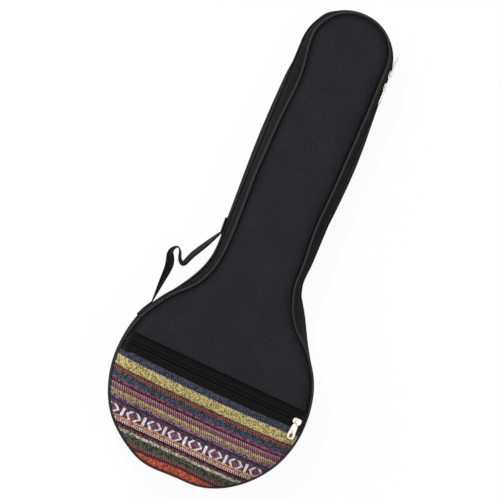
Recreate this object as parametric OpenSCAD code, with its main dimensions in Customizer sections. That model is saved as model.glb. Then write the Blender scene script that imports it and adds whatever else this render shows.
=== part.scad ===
// Padded soft bag for a small round-bodied string instrument.
// The bag lies on its back: +Z is the front, +Y is the head end.
// The origin is the middle of the box around it, on the surface it lies on.

/* [Bag] */
// Overall length, head end to bottom
bag_len = 722; // [640:2:820]
// Width of the round body
body_w = 294; // [270:2:330]
// Outer width of the neck
neck_w = 138; // [126:2:160]
// Radius of the concave waist between body and neck
waist_r = 160; // [130:5:200]
// Distance between the outer faces of the two panels
bag_depth = 92; // [84:1:120]
// How far the panels crown above their seams
crown_h = 6; // [4:0.5:10]
// Width of the crowned border of a panel
crown_w = 25; // [20:1:30]
// How far the seams lie inside the widest line, round the body
body_in = 3; // [2:0.5:6]
// How far the seams lie inside the widest line, along the neck and head
neck_in = 12; // [6:0.5:14]
// Radius of the concave waist along the seams
seam_waist_r = 100; // [80:5:200]
// How far the seams' rounded head end lies beyond that of the side band
head_shift = 8.5; // [0:0.5:9]
// Depth of the front half, from its face to the zip
lid_depth = 30; // [26:1:40]
// How far the widest line lies below the zip
belly_drop = 24; // [16:1:30]

/* [Padding] */
// Thickness of the outer woven nylon
cloth_t = 1.2; // [0.8:0.1:1.8]
// Thickness of the foam in the two panels
foam_t = 8; // [6:0.5:10]
// Thickness of the foam in the side band
side_foam_t = 5; // [3:0.5:8]
// Thickness of the lining
lining_t = 0.8; // [0.5:0.1:1.2]
// Diameter of the piping cord in the seams
piping_d = 4; // [3:0.5:5]

/* [Zips] */
// Thickness of a zip tape
tape_t = 0.6; // [0.4:0.1:0.8]
// Width of one half of a zip tape
tape_w = 14; // [12:0.5:16]
// Bare width left beside the main zip's coil for the sliders
zip_gap = 6; // [5.5:0.5:8]
// Height of one coil across the tape
coil_w = 2.2; // [1.8:0.1:2.6]
// Thickness of the coil
coil_t = 2.2; // [1.8:0.1:2.6]
// Room between the two coils where the slider's post runs
coil_gap = 1.6; // [1.4:0.1:2]
// Length of the bottom stretch that has no zip and acts as the hinge
hinge_len = 110; // [80:5:150]
// Length of a slider
slider_l = 12; // [10:0.5:14]
// Width of a slider at its mouth
slider_w = 9; // [8:0.5:10.5]
// Thickness of a slider's plate
slider_t = 1.2; // [1:0.1:1.4]
// Room between a slider's plate and the coil
slider_gap = 0.8; // [0.7:0.05:1]
// Length of a pull tab from its pivot
pull_l = 27; // [22:1:32]
// Width of a pull tab at its wide end
pull_w = 10.5; // [9:0.5:13]
// Distance from the head circle's centre down to the lower slider
lower_slider_drop = 18; // [12:0.5:40]
// Angle of the upper slider round the head
upper_slider_a = 1; // [1:0.5:20]

/* [Pocket] */
// Slant of the pocket's zip
pocket_slant = 3; // [0:0.5:5]
// Height of the pocket's zip above the middle of the body
pocket_zip_y = 6; // [-20:1:8]
// Height of the black band above the zip
pocket_band_h = 17; // [15:0.5:24]
// Distance from the zip down to the woven panel
pocket_drop = 12; // [8:0.5:13]
// Clear depth inside the pocket
pocket_depth = 7; // [5:0.5:12]
// Thickness of the woven pocket cloth
woven_t = 1.4; // [1:0.1:2]
// Distance of the pocket slider from the end of the zip
pocket_slider_end = 8; // [8:1:60]

/* [Handle] */
// Width of the handle webbing
handle_w = 25; // [20:1:30]
// Thickness of the handle webbing
handle_t = 2; // [1.6:0.1:2.6]
// Length of each sewn end of the handle
handle_sewn = 27; // [20:1:35]

/* [Shoulder straps] */
// Thickness of a strap pad
pad_t = 7; // [6.5:0.5:9]
// Width of a strap pad
pad_w = 42; // [34:1:50]
// Width of the adjusting webbing
webbing_w = 20; // [18:1:25]
// Thickness of the adjusting webbing
webbing_t = 1.2; // [1:0.1:1.5]
// Thickness of a ladder lock's bars
lock_bar = 2.6; // [2.2:0.1:3]

/* [Hidden] */
$fn = 96;

nylon = "#24232a";
foam_colour = "#d9d4c4";
lining_colour = "#3c3c44";
tape_colour = "#17171a";
nickel = "#c9c8c2";
woven_colour = "#8a6a3a";
webbing_colour = "#1b1b1f";
plastic = "#141416";

seam_gap = 0.1;       // stops neighbouring layers from biting into each other
layer_gap = 0.2;      // the same between layers whose facets differ
split_gap = 0.3;      // between the two halves where no zip joins them
fit_gap = 0.3;        // running clearance of a pull on its slider

// Plan of the bag: two circles joined by a straight neck and two concave waists
body_r = body_w/2;
neck_r = neck_w/2;
body_y = -bag_len/2 + body_r;
head_y = bag_len/2 - neck_r;
neck_start_y = body_y + sqrt(pow(body_r + waist_r, 2) - pow(neck_r + waist_r, 2));
body_seam_r = body_r - body_in;
neck_seam_r = neck_r - neck_in;

// Heights, from the surface under the strap pads
back_z = pad_t;
front_z = back_z + bag_depth;
rear_seam_z = back_z + crown_h;
front_seam_z = front_z - crown_h;
split_z = front_z - lid_depth;
belly_z = split_z - belly_drop;
piping_r = piping_d/2;
band_edge = piping_r + seam_gap;
band_lining_in = cloth_t + side_foam_t + layer_gap;
band_in = band_lining_in + lining_t;
hinge_a = hinge_len/2/body_r*180/PI;
rear_steps = 4;
front_steps = 2;
crown_steps = 3;
hinge_steps = 3;
body_steps = 14;
waist_steps = 5;
head_steps = 9;

// How far the side band has drawn in towards a seam at a height: 0 on the widest line, 1 at the seam
function drawn(z) = pow((z - belly_z)/((z > belly_z ? front_seam_z : rear_seam_z) - belly_z), 2);
shift_from = drawn(split_z + coil_gap/2 + coil_w);
function between(a, b, n) = [for (i = [0 : n]) a + (b - a)*i/n];
function reversed(v) = [for (i = [len(v) - 1 : -1 : 0]) v[i]];
function without_first(v) = [for (i = [1 : len(v) - 1]) v[i]];
function without_ends(v) = [for (i = [1 : len(v) - 2]) v[i]];
function mirrored_points(v) = [for (p = v) [-p[0], p[1]]];

// Section of one layer of the side band between two heights and two depths.
// Each point is an outward offset, how far the outline is drawn in, and a height.
function layer(z0, z1, in0, in1, n) = concat(
  [for (z = between(z0, z1, n)) [-in0, drawn(z), z]],
  [for (z = between(z1, z0, n)) [-in1, drawn(z), z]]);

// Height of a panel's outer surface over its seam, by distance in from the seam
function crown(i) = crown_h*sin(90*min(i/crown_w, 1));

// Plan outline moved outward by d and drawn in by the share w, counter-clockwise from the bottom
function on_circle(y, r, a) = [0, y] + r*[cos(a), sin(a)];
function body_at(w) = body_r - body_in*w;
function neck_at(w) = neck_r - neck_in*w;
function head_at(w) = head_y + head_shift*max(0, (w - shift_from)/(1 - shift_from));
function waist_at(w) = waist_r + (seam_waist_r - waist_r)*w;
function waist_angle(w) = acos((neck_at(w) + waist_at(w))/(body_at(w) + waist_at(w)));
function waist_centre(w) = [0, body_y] + (body_at(w) + waist_at(w))*[cos(waist_angle(w)), sin(waist_angle(w))];
function hinge_half(d, w) = [for (a = between(-90, hinge_a - 90, hinge_steps)) on_circle(body_y, body_at(w) + d, a)];
function zip_half(d, w) = concat(
  [for (a = between(hinge_a - 90, waist_angle(w), body_steps)) on_circle(body_y, body_at(w) + d, a)],
  without_first([for (a = between(180 + waist_angle(w), 180, waist_steps))
    waist_centre(w) + (waist_at(w) - d)*[cos(a), sin(a)]]),
  [for (a = between(0, 90, head_steps)) on_circle(head_at(w), neck_at(w) + d, a)]);
function zip_path(d, w) = concat(zip_half(d, w), without_first(reversed(mirrored_points(zip_half(d, w)))));
function hinge_path(d, w) = concat(reversed(mirrored_points(hinge_half(d, w))), without_first(hinge_half(d, w)));
function outline(d, w) = concat(zip_path(d, w), without_ends(hinge_path(d, w)));
function route(kind, d, w) = kind == "zip" ? zip_path(d, w) : kind == "hinge" ? hinge_path(d, w) : outline(d, w);

// Skins rows of points that lie one after the other along a surface, each square split along its short diagonal
function skin(rows, wrap_rows, wrap_points) = let (m = len(rows), n = len(rows[0]))
  [for (k = [0 : m - (wrap_rows ? 1 : 2)]) for (i = [0 : n - (wrap_points ? 1 : 2)])
    let (k1 = (k + 1) % m, i1 = (i + 1) % n, falls = norm(rows[k][i] - rows[k1][i1]) < norm(rows[k1][i] - rows[k][i1]))
      each falls ? [[k*n + i, k1*n + i, k1*n + i1], [k*n + i, k1*n + i1, k*n + i1]]
        : [[k*n + i, k1*n + i, k*n + i1], [k1*n + i, k1*n + i1, k*n + i1]]];
function lifted(p, z) = [p[0], p[1], z];

// Runs a closed section along a stretch of the outline
module around(kind, section) {
  rows = [for (q = section) [for (p = route(kind, q[0], q[1])) lifted(p, q[2])]];
  n = len(rows[0]);
  closed = kind == "all";
  start = [for (k = [len(section) - 1 : -1 : 0]) k*n];
  end = [for (k = [0 : len(section) - 1]) k*n + n - 1];
  polyhedron([for (r = rows) each r], concat(skin(rows, true, closed), closed ? [] : [start, end]));
}

// Closes a surface of nested outlines, from its lowest middle out to the rim and back to its highest middle
module stacked(section) {
  rows = [for (q = section) [for (p = outline(q[0], 1)) lifted(p, q[1])]];
  n = len(rows[0]);
  last = (len(rows) - 1)*n;
  polyhedron([for (r = rows) each r], concat(skin(rows, false, true),
    [[for (i = [0 : n - 1]) i], [for (i = [n - 1 : -1 : 0]) last + i]]));
}

// Mirrors a front piece to the back of the bag
module at_back() translate([0, 0, rear_seam_z + front_seam_z]) mirror([0, 0, 1]) children();

// A crowned sheet or pad: its top follows the panel at depth in0, its border starts at inset i0
module crowned(i0, in0, t, flat_under) {
  insets = between(i0, crown_w, crown_steps);
  top = [for (i = insets) [-i, front_seam_z + crown(i) - in0]];
  under_z = front_z - in0 - t;
  under = flat_under ? [[-i0, under_z]] : [for (p = reversed(top)) p - [0, t]];
  stacked(concat(under, top));
}

// Panels, one layer each
sheet_in = piping_r + seam_gap;
pad_in = band_in + split_gap;
module panel_cloth() color(nylon) crowned(sheet_in, 0, cloth_t, false);
pad_depth = cloth_t + layer_gap;
module panel_foam() color(foam_colour) crowned(pad_in, pad_depth, foam_t, true);
module panel_lining() color(lining_colour) translate([0, 0, front_z - pad_depth - foam_t - lining_t])
  linear_extrude(lining_t) polygon(outline(-pad_in, 1));
module piping() color(nylon) around("all", [for (a = [0 : 60 : 300])
  [piping_r*cos(a), 1, front_seam_z + piping_r*sin(a)]]);

module back_panel() at_back() panel_cloth();
module back_foam() at_back() panel_foam();
module back_lining() at_back() panel_lining();
module rear_piping() at_back() piping();
module front_panel() panel_cloth();
module front_foam() panel_foam();
module front_lining() panel_lining();
module front_piping() piping();

// Side band: the cloth reaches the split only along the hinge, elsewhere the zip fills it
rear_z0 = rear_seam_z + band_edge;
rear_z1 = split_z - zip_gap;
front_z0 = split_z + zip_gap;
front_z1 = front_seam_z - band_edge;
module band_cloth(kind, z0, z1, n) color(nylon) around(kind, layer(z0, z1, 0, cloth_t, n));
module band_foam(z0, z1, n) color(foam_colour)
  around("all", layer(z0, z1, cloth_t + tape_t + 2*layer_gap, cloth_t + side_foam_t, n));
module band_lining(z0, z1, n) color(lining_colour) around("all", layer(z0, z1, band_lining_in, band_in, n));
module rear_gusset() band_cloth("zip", rear_z0, rear_z1, rear_steps);
module front_gusset() band_cloth("zip", front_z0, front_z1, front_steps);
module rear_hinge_panel() band_cloth("hinge", rear_z0, split_z - split_gap/2, rear_steps);
module front_hinge_panel() band_cloth("hinge", split_z + split_gap/2, front_z1, front_steps);
module rear_gusset_foam() band_foam(rear_z0, rear_z1, rear_steps);
module front_gusset_foam() band_foam(front_z0, front_z1, front_steps);
module rear_gusset_lining() band_lining(rear_z0, rear_z1, rear_steps);
module front_gusset_lining() band_lining(front_z0, front_z1, front_steps);

// Main zip: tapes behind the cloth, coils at their edges
coil_in = cloth_t + layer_gap + tape_t/2;
front_coil_z = split_z + coil_gap/2;
rear_coil_z = split_z - coil_gap/2 - coil_w;
module zip_layer(z0, z1, t) color(tape_colour) around("zip", layer(z0, z1, coil_in - t/2, coil_in + t/2, 1));
module front_zip_tape() zip_layer(front_coil_z + coil_w, split_z + tape_w, tape_t);
module rear_zip_tape() zip_layer(split_z - tape_w, rear_coil_z, tape_t);
module front_zip_coil() zip_layer(front_coil_z, front_coil_z + coil_w, coil_t);
module rear_zip_coil() zip_layer(rear_coil_z, rear_coil_z + coil_w, coil_t);

// Stops crimped on the rear coil's two ends
stop_l = 3;
module zip_end_stops() color(nickel) for (s = [-1, 1]) translate([0, body_y, 0]) rotate([0, 0, s*hinge_a - 90])
  translate([body_at(drawn(rear_coil_z)) - cloth_t - 2*layer_gap - coil_t, s > 0 ? -stop_l : 0, rear_coil_z])
    cube([coil_t, stop_l, coil_w]);

// Slider: x is the way it runs, y goes across the tape, z points out of the bag
plate_z = coil_t/2 + slider_gap;
tail_w = slider_w*0.78;
post_l = 3;
post_t = coil_gap - 2*split_gap;
flange_t = 0.8;
flange_drop = 0.6;
pin_r = 0.7;
bail_t = 1.3;
bail_w = 2.2;
bail_in = 4.2;
arm_t = 1.3;
tab_t = 1.3;
pin_z = plate_z + slider_t + pin_r + fit_gap;
bail_top = pin_z + pin_r + fit_gap + bail_t;
module slider_plate() linear_extrude(slider_t) polygon([[-slider_l/2, -tail_w/2 + 1], [-slider_l/2 + 1, -tail_w/2],
  [-slider_l/6, -slider_w/2], [slider_l/2 - 1.5, -slider_w/2], [slider_l/2, -slider_w/2 + 1.5],
  [slider_l/2, slider_w/2 - 1.5], [slider_l/2 - 1.5, slider_w/2], [-slider_l/6, slider_w/2],
  [-slider_l/2 + 1, tail_w/2], [-slider_l/2, tail_w/2 - 1]]);
module bail() rotate([90, 0, 0]) translate([0, 0, -bail_w/2]) linear_extrude(bail_w) difference() {
  union() {
    translate([-bail_in/2 - bail_t, plate_z + slider_t]) square([bail_in + 2*bail_t, bail_top - 1 - plate_z - slider_t]);
    translate([-bail_in/2 - bail_t + 1, plate_z + slider_t]) square([bail_in + 2*bail_t - 2, bail_top - plate_z - slider_t]);
    for (s = [-1, 1]) translate([s*(bail_in/2 + bail_t - 1), bail_top - 1]) circle(1, $fn = 24);
  }
  translate([-bail_in/2, plate_z + slider_t]) square([bail_in, 2*(pin_r + fit_gap)]);
}
module slider(flanges, bail_turn) color(nickel) {
  translate([0, 0, plate_z]) slider_plate();
  translate([0, 0, -plate_z - slider_t]) slider_plate();
  translate([slider_l/2 - 0.5 - post_l, -post_t/2, -plate_z]) cube([post_l, post_t, 2*plate_z]);
  for (s = flanges) for (f = [0, 1])
    translate([-slider_l/6, s > 0 ? slider_w/2 - flange_t : -slider_w/2, f == 0 ? -plate_z : plate_z - flange_drop])
      cube([slider_l/2, flange_t, flange_drop]);
  rotate([0, 0, bail_turn]) bail();
}

// Pull: pivot along y at the origin, the tab lies along -x
arm_y = bail_w/2 + fit_gap;
tab_start = bail_in/2 + bail_t + 0.9;
tab_neck_w = 7.5;
slot_l = 5;
slot_w = 3.4;
module pull() color(nickel) {
  rotate([90, 0, 0]) cylinder(h = 2*(arm_y + arm_t), r = pin_r, center = true, $fn = 24);
  for (s = [0, 1]) translate([-tab_start - 1, s == 0 ? arm_y : -arm_y - arm_t, -tab_t/2])
    cube([tab_start + 1, arm_t, tab_t]);
  translate([0, 0, -tab_t/2]) linear_extrude(tab_t) difference() {
    union() {
      polygon([[-tab_start, -tab_neck_w/2 + 1], [-tab_start, tab_neck_w/2 - 1], [-tab_start - 1, tab_neck_w/2],
        [-pull_l + pull_w/2, pull_w/2], [-pull_l + pull_w/2, -pull_w/2], [-tab_start - 1, -tab_neck_w/2]]);
      translate([-pull_l + pull_w/2, 0]) circle(pull_w/2);
    }
    for (s = [-1, 1]) translate([-pull_l + pull_w/2 + s*(slot_l - slot_w)/2, 0]) circle(slot_w/2, $fn = 24);
    translate([-pull_l + pull_w/2 - (slot_l - slot_w)/2, -slot_w/2]) square([slot_l - slot_w, slot_w]);
  }
}

// Places a main zip slider or its pull on the right-hand side, running along +Y and leaning with the side
zip_lean = atan(2*neck_in*belly_drop/pow(front_seam_z - belly_z, 2));
module on_right_zip() translate([neck_at(drawn(split_z)) - coil_in, 0, split_z])
  rotate([0, 90 - zip_lean, 0]) rotate([0, 0, 90]) children();
module at_lower_slider() translate([0, head_y - lower_slider_drop, 0]) on_right_zip() children();
module at_upper_slider() translate([0, head_y, 0]) rotate([0, 0, upper_slider_a]) on_right_zip() children();
module lower_slider() at_lower_slider() slider([-1], 0);
module lower_pull() at_lower_slider() translate([0, 0, pin_z]) pull();
module upper_slider() at_upper_slider() mirror([1, 0, 0]) slider([-1], 0);
module upper_pull() at_upper_slider() translate([0, 0, pin_z]) mirror([1, 0, 0]) pull();

// Pocket: a low dome over the lower half of the body, cut by the slanting zip
pocket_r = body_seam_r - sheet_in;
pocket_top = front_z + pocket_depth + lining_t + woven_t;
pocket_rim_w = 13;
pocket_foot_z = front_seam_z + crown(sheet_in + 2 + woven_t + lining_t) + seam_gap;
woven_top_y = pocket_zip_y - pocket_drop;
band_top_y = pocket_zip_y + pocket_band_h;
pocket_tape_z = front_z + pocket_depth;
zip_r = pocket_r - 3;
function dome(z, r) = [for (a = between(0, 90, crown_steps))
  [r - pocket_rim_w*(1 - sin(90 - a)), pocket_foot_z + (z - pocket_foot_z)*sin(a)]];
module pocket_frame() translate([0, body_y, 0]) rotate([0, 0, -pocket_slant]) children();
module dome_layer(z, t, inset) pocket_frame() intersection() {
  rotate([0, 0, 180]) rotate_extrude(angle = 180) {
    outer = dome(z, pocket_r - 2 - inset);
    inner = dome(z - t, pocket_r - 2 - inset - t);
    polygon(concat(outer, [[0, z], [0, z - t]], reversed(inner)));
  }
  translate([-pocket_r, -2*pocket_r, 0]) cube([2*pocket_r, 2*pocket_r + woven_top_y, 2*front_z]);
}
module pocket_panel() color(woven_colour) dome_layer(pocket_top, woven_t, 0);
module pocket_lining() color(lining_colour) dome_layer(pocket_top - woven_t, lining_t, woven_t);

// A strip across the pocket's mouth, trimmed to the round body
module across(y0, y1, z0, z1) pocket_frame() intersection() {
  translate([-pocket_r, y0, z0]) cube([2*pocket_r, y1 - y0, z1 - z0]);
  translate([0, 0, z0 - 1]) cylinder(h = z1 - z0 + 2, r = zip_r);
}
tape_edge = coil_gap/2 + coil_w;
band_lip = zip_gap + 1;
band_bend_y = band_top_y - 5.5;
module pocket_zip_tape() color(tape_colour) {
  across(pocket_zip_y + tape_edge, band_bend_y - seam_gap, pocket_tape_z - tape_t, pocket_tape_z);
  across(woven_top_y + seam_gap, pocket_zip_y - tape_edge, pocket_tape_z - tape_t, pocket_tape_z);
}
pocket_coil_z = pocket_tape_z - tape_t/2;
module pocket_zip_coil() color(tape_colour) for (s = [0, 1])
  across(pocket_zip_y + (s == 0 ? coil_gap/2 : -coil_gap/2 - coil_w), pocket_zip_y + (s == 0 ? coil_gap/2 + coil_w : -coil_gap/2),
    pocket_coil_z - coil_t/2, pocket_coil_z + coil_t/2);
module pocket_band() color(nylon) pocket_frame() intersection() {
  rotate([90, 0, 90]) translate([0, 0, -pocket_r]) linear_extrude(2*pocket_r) polygon([
    [pocket_zip_y + band_lip, pocket_tape_z], [pocket_zip_y + band_lip, pocket_tape_z + cloth_t],
    [band_bend_y + 0.5, pocket_tape_z + cloth_t], [band_top_y, front_z + 4], [band_top_y, front_z],
    [band_top_y - cloth_t, front_z], [band_top_y - cloth_t, front_z + 3.4], [band_bend_y, pocket_tape_z]]);
  cylinder(h = 2*front_z, r = zip_r);
}
stop_x = sqrt(pow(zip_r, 2) - pow(abs(pocket_zip_y) + tape_edge, 2)) - 2;
module pocket_zip_stops() color(nickel) pocket_frame() for (s = [-1, 1])
  translate([s*stop_x - 1, pocket_zip_y - coil_gap/2, pocket_coil_z - coil_t/2]) cube([2, coil_gap, coil_t]);
pocket_slider_x = stop_x - pocket_slider_end;
module at_pocket_slider() pocket_frame() translate([pocket_slider_x, pocket_zip_y, pocket_coil_z]) children();
module pocket_slider() at_pocket_slider() slider([-1, 1], 90);
module pocket_pull() at_pocket_slider() translate([0, 0, pin_z]) rotate([0, 0, 90]) pull();

// Flexible strips: a smooth curve through a few chosen points, given a width
function curve_point(a, b, c, d, t) = 0.5*(2*b + (c - a)*t + (2*a - 5*b + 4*c - d)*t*t + (3*b - a - 3*c + d)*t*t*t);
function curve(p, n) = [for (i = [0 : len(p) - 2]) for (k = [0 : n - (i == len(p) - 2 ? 0 : 1)])
  curve_point(p[max(i - 1, 0)], p[i], p[i + 1], p[min(i + 2, len(p) - 1)], k/n)];
function side_step(p, i) = let (d = p[min(i + 1, len(p) - 1)] - p[max(i - 1, 0)]) [-d[1], d[0]]/norm(d);
module ribbon(p, w) polygon(concat([for (i = [0 : len(p) - 1]) p[i] + side_step(p, i)*w/2],
  [for (i = [len(p) - 1 : -1 : 0]) p[i] - side_step(p, i)*w/2]));

// Handle: webbing sewn to the neck and to the body's shoulder, slack in between
handle_z = split_z - zip_gap - tape_w/2 - handle_w/2;
handle_top_y = neck_start_y - 2;
handle_off = handle_t/2 + seam_gap;
handle_a = 149;
sewn_a = handle_sewn/body_r*180/PI;
function on_body(a) = [0, body_y] + (body_r + handle_off)*[cos(a), sin(a)];
handle_slack = [[-4, 0], [-26, -38], [-34, -57], [-41, -54], [-46, -42], [-53, -39], [-60, -49], [-54, -74]];
handle_route = concat([[-neck_r - handle_off, handle_top_y + handle_sewn]],
  [for (q = handle_slack) [-neck_r, handle_top_y] + q]);
module side_handle() color(webbing_colour) translate([0, 0, handle_z - handle_w/2]) linear_extrude(handle_w)
  ribbon(concat(curve(concat(handle_route, [on_body(handle_a)]), 5),
    [for (a = between(handle_a + 2, handle_a + sewn_a, 4)) on_body(a)]), handle_t);

// Shoulder straps, flat against the back
yoke_y = neck_start_y + 30;
yoke_h = 28;
yoke_w = 2*(neck_seam_r - crown_w);
pad_low = [58, body_y + 2];
pad_curve = curve([[pad_w/2 + 1, yoke_y], [pad_w/2 + 9, yoke_y - 90], [pad_low[0] - 11, pad_low[1] + 62], pad_low], 5);
pad_end = pad_curve[len(pad_curve) - 1] - pad_curve[len(pad_curve) - 2];
lock_turn = atan2(pad_end[0], -pad_end[1]);
anchor_run = 62;
module mirrored(s) mirror([s < 0 ? 1 : 0, 0, 0]) children();
yoke_low_y = yoke_y + abs(side_step(pad_curve, 0)[1])*pad_w/2 + seam_gap;
module strap_yoke() color(nylon) translate([-yoke_w/2, yoke_low_y, 1]) cube([yoke_w, yoke_h, back_z - 1]);
module strap_pad(s) color(nylon) mirrored(s) linear_extrude(pad_t)
  ribbon(pad_curve, pad_w);
module strap_pad_left() strap_pad(-1);
module strap_pad_right() strap_pad(1);

// Ladder lock: x runs down the webbing from the pad, y goes across
lock_side = 3;
lock_slot = 6;
lock_in = webbing_w/2 + 0.5;
lock_z = back_z - 1.4 - webbing_t - lock_bar;
lock_pitch = lock_bar + lock_slot;
lock_l = 2*lock_pitch + lock_bar;
lock_x = 6;
leg_gap = 0.2;
leg_top = lock_z + lock_bar + leg_gap;
leg_low = lock_z - leg_gap;
module at_lock(s) mirrored(s) translate([pad_low[0], pad_low[1], 0]) rotate([0, 0, lock_turn - 90]) children();
module ladder_lock(s) color(plastic) at_lock(s) translate([lock_x, 0, lock_z]) {
  for (i = [0 : 2]) translate([i*lock_pitch, -lock_in, 0]) cube([lock_bar, 2*lock_in, lock_bar]);
  for (t = [0, 1]) translate([0, t == 0 ? lock_in : -lock_in - lock_side, 0]) cube([lock_l, lock_side, lock_bar]);
}
module ladder_lock_left() ladder_lock(-1);
module ladder_lock_right() ladder_lock(1);
// A strip of webbing bent round a bar: a side view given the webbing's width
module bent_webbing(s, outline) color(webbing_colour) at_lock(s) rotate([90, 0, 0])
  translate([0, 0, -webbing_w/2]) linear_extrude(webbing_w) polygon(outline);
loop_x = lock_x + lock_bar + leg_gap;
function hook(x0, x1, x2, top, low, t) = [[x0, top], [x0, top + t], [x1 + (x1 > x0 ? t : -t), top + t],
  [x1 + (x1 > x0 ? t : -t), low - t], [x2, low - t], [x2, low], [x1, low], [x1, top]];
module lock_loop(s) bent_webbing(s, hook(0, loop_x, 0, leg_top, leg_low, webbing_t));
module lock_loop_left() lock_loop(-1);
module lock_loop_right() lock_loop(1);
run_x = lock_x + lock_pitch - leg_gap;
tail_x = 2*lock_pitch + lock_x + 40;
module strap_webbing(s) bent_webbing(s, hook(anchor_run, run_x, tail_x, leg_top, leg_low, webbing_t));
module strap_webbing_left() strap_webbing(-1);
module strap_webbing_right() strap_webbing(1);
anchor_l = 16;
module strap_anchor(s) color(nylon) at_lock(s) translate([anchor_run, 0, leg_top]) linear_extrude(back_z - leg_top)
  polygon([[0, -webbing_w/2 - 2], [0, webbing_w/2 + 2], [anchor_l, webbing_w/2 + 8], [anchor_l, -webbing_w/2 - 8]]);
module strap_anchor_left() strap_anchor(-1);
module strap_anchor_right() strap_anchor(1);

back_panel();
back_foam();
back_lining();
rear_gusset();
rear_gusset_foam();
rear_gusset_lining();
rear_piping();
rear_zip_tape();
rear_zip_coil();
zip_end_stops();
rear_hinge_panel();
side_handle();
strap_yoke();
strap_pad_left();
strap_pad_right();
ladder_lock_left();
ladder_lock_right();
lock_loop_left();
lock_loop_right();
strap_webbing_left();
strap_webbing_right();
strap_anchor_left();
strap_anchor_right();
front_panel();
front_foam();
front_lining();
front_gusset();
front_gusset_foam();
front_gusset_lining();
front_piping();
front_zip_tape();
front_zip_coil();
front_hinge_panel();
pocket_panel();
pocket_lining();
pocket_band();
pocket_zip_tape();
pocket_zip_coil();
pocket_zip_stops();
upper_slider();
upper_pull();
lower_slider();
lower_pull();
pocket_slider();
pocket_pull();
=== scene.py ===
"""The looks of a padded soft bag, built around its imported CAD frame.

Lengths in this file are millimetres unless a name says otherwise; meshes become metres when they are made.
"""
import math

import bmesh
import bpy
import numpy as np
from mathutils import Matrix, Vector, noise
from mathutils.geometry import delaunay_2d_cdt


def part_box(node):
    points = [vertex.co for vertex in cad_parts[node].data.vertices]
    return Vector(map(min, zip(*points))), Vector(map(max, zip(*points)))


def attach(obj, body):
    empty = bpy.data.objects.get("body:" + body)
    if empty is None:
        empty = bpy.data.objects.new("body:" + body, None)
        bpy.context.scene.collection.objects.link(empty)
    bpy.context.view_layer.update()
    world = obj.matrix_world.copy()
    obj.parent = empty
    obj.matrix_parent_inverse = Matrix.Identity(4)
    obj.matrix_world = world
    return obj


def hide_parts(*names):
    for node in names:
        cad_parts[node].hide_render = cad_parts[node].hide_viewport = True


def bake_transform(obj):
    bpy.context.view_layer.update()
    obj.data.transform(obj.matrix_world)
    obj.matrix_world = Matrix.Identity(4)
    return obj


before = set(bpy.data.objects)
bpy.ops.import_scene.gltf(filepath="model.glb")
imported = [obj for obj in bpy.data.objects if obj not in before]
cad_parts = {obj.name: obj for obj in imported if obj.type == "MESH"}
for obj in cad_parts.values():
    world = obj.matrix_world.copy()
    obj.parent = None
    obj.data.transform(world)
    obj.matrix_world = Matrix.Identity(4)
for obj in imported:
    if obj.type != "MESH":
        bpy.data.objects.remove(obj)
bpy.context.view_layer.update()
MM = 0.001
join = np.concatenate


def put_in_scene(name, data):
    obj = bpy.data.objects.new(name, data)
    bpy.context.scene.collection.objects.link(obj)
    return obj


# ---- camera
VIEW_WIDTH, VIEW_DISTANCE, VIEW_ROLL, VIEW_YAW = 720, 3600, 22.25, 3.7
VIEW_TARGET = (-21.6, -14.9, 45)
SENSOR = 36


def make_camera():
    data = bpy.data.cameras.new("photo_camera")
    cam = put_in_scene("photo_camera", data)
    yaw, roll = math.radians(VIEW_YAW), math.radians(VIEW_ROLL)
    back = Vector((-math.sin(yaw), 0, math.cos(yaw)))
    right = Vector((math.cos(roll), math.sin(roll), 0))
    right = (right - right.dot(back) * back).normalized()
    turn = Matrix((right, back.cross(right), back)).transposed().to_4x4()
    cam.matrix_world = Matrix.Translation((Vector(VIEW_TARGET) + back * VIEW_DISTANCE) * MM) @ turn
    data.sensor_width = SENSOR
    data.lens = SENSOR * VIEW_DISTANCE / VIEW_WIDTH
    data.clip_end = 20
    bpy.context.scene.camera = cam


make_camera()

# ---- sizes shared with the part's source
BODY_R, NECK_R = 147, 69
BODY_Y, HEAD_Y = -214, 292
BODY_IN, NECK_IN, HEAD_SHIFT = 3, 12, 8.5
WAIST_R, SEAM_WAIST_R = 160, 100
BACK_Z, FRONT_Z, CROWN_H, CROWN_W = 7, 99, 6, 25
REAR_SEAM_Z, FRONT_SEAM_Z = BACK_Z + CROWN_H, FRONT_Z - CROWN_H
SPLIT_Z, BELLY_Z = 69, 45
CLOTH_T, FOAM_T, SIDE_FOAM_T, LINING_T = 1.2, 8, 5, 0.8
LAYER_GAP, SEAM_GAP = 0.2, 0.1
PIPING_R = 2
TAPE_T, TAPE_W, ZIP_GAP = 0.6, 14, 6
COIL_W, COIL_T, COIL_GAP = 2.2, 2.2, 1.6
COIL_IN = CLOTH_T + LAYER_GAP + TAPE_T / 2
BAND_IN = CLOTH_T + SIDE_FOAM_T + LAYER_GAP + LINING_T
BAND_EDGE = SHEET_IN = PIPING_R + SEAM_GAP
PAD_IN, PAD_ROUND = BAND_IN + 0.3, 1.4
HINGE_HALF = 55
HINGE_A = math.degrees(HINGE_HALF / BODY_R)
REAR_Z0, REAR_Z1 = REAR_SEAM_Z + BAND_EDGE, SPLIT_Z - ZIP_GAP
FRONT_Z0, FRONT_Z1 = SPLIT_Z + ZIP_GAP, FRONT_SEAM_Z - BAND_EDGE
POCKET_SLANT = 3
POCKET_R = BODY_R - BODY_IN - SHEET_IN
POCKET_ZIP_Y, POCKET_TOP_Y, BAND_TOP_Y = 6, -6, 23
POCKET_TAPE_Z = FRONT_Z + 7
POCKET_TOP_Z = POCKET_TAPE_Z + 2.2
# The neck's straight side starts this far above the middle of the body
NECK_START = math.sqrt((BODY_R + WAIST_R) ** 2 - (NECK_R + WAIST_R) ** 2)


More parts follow.
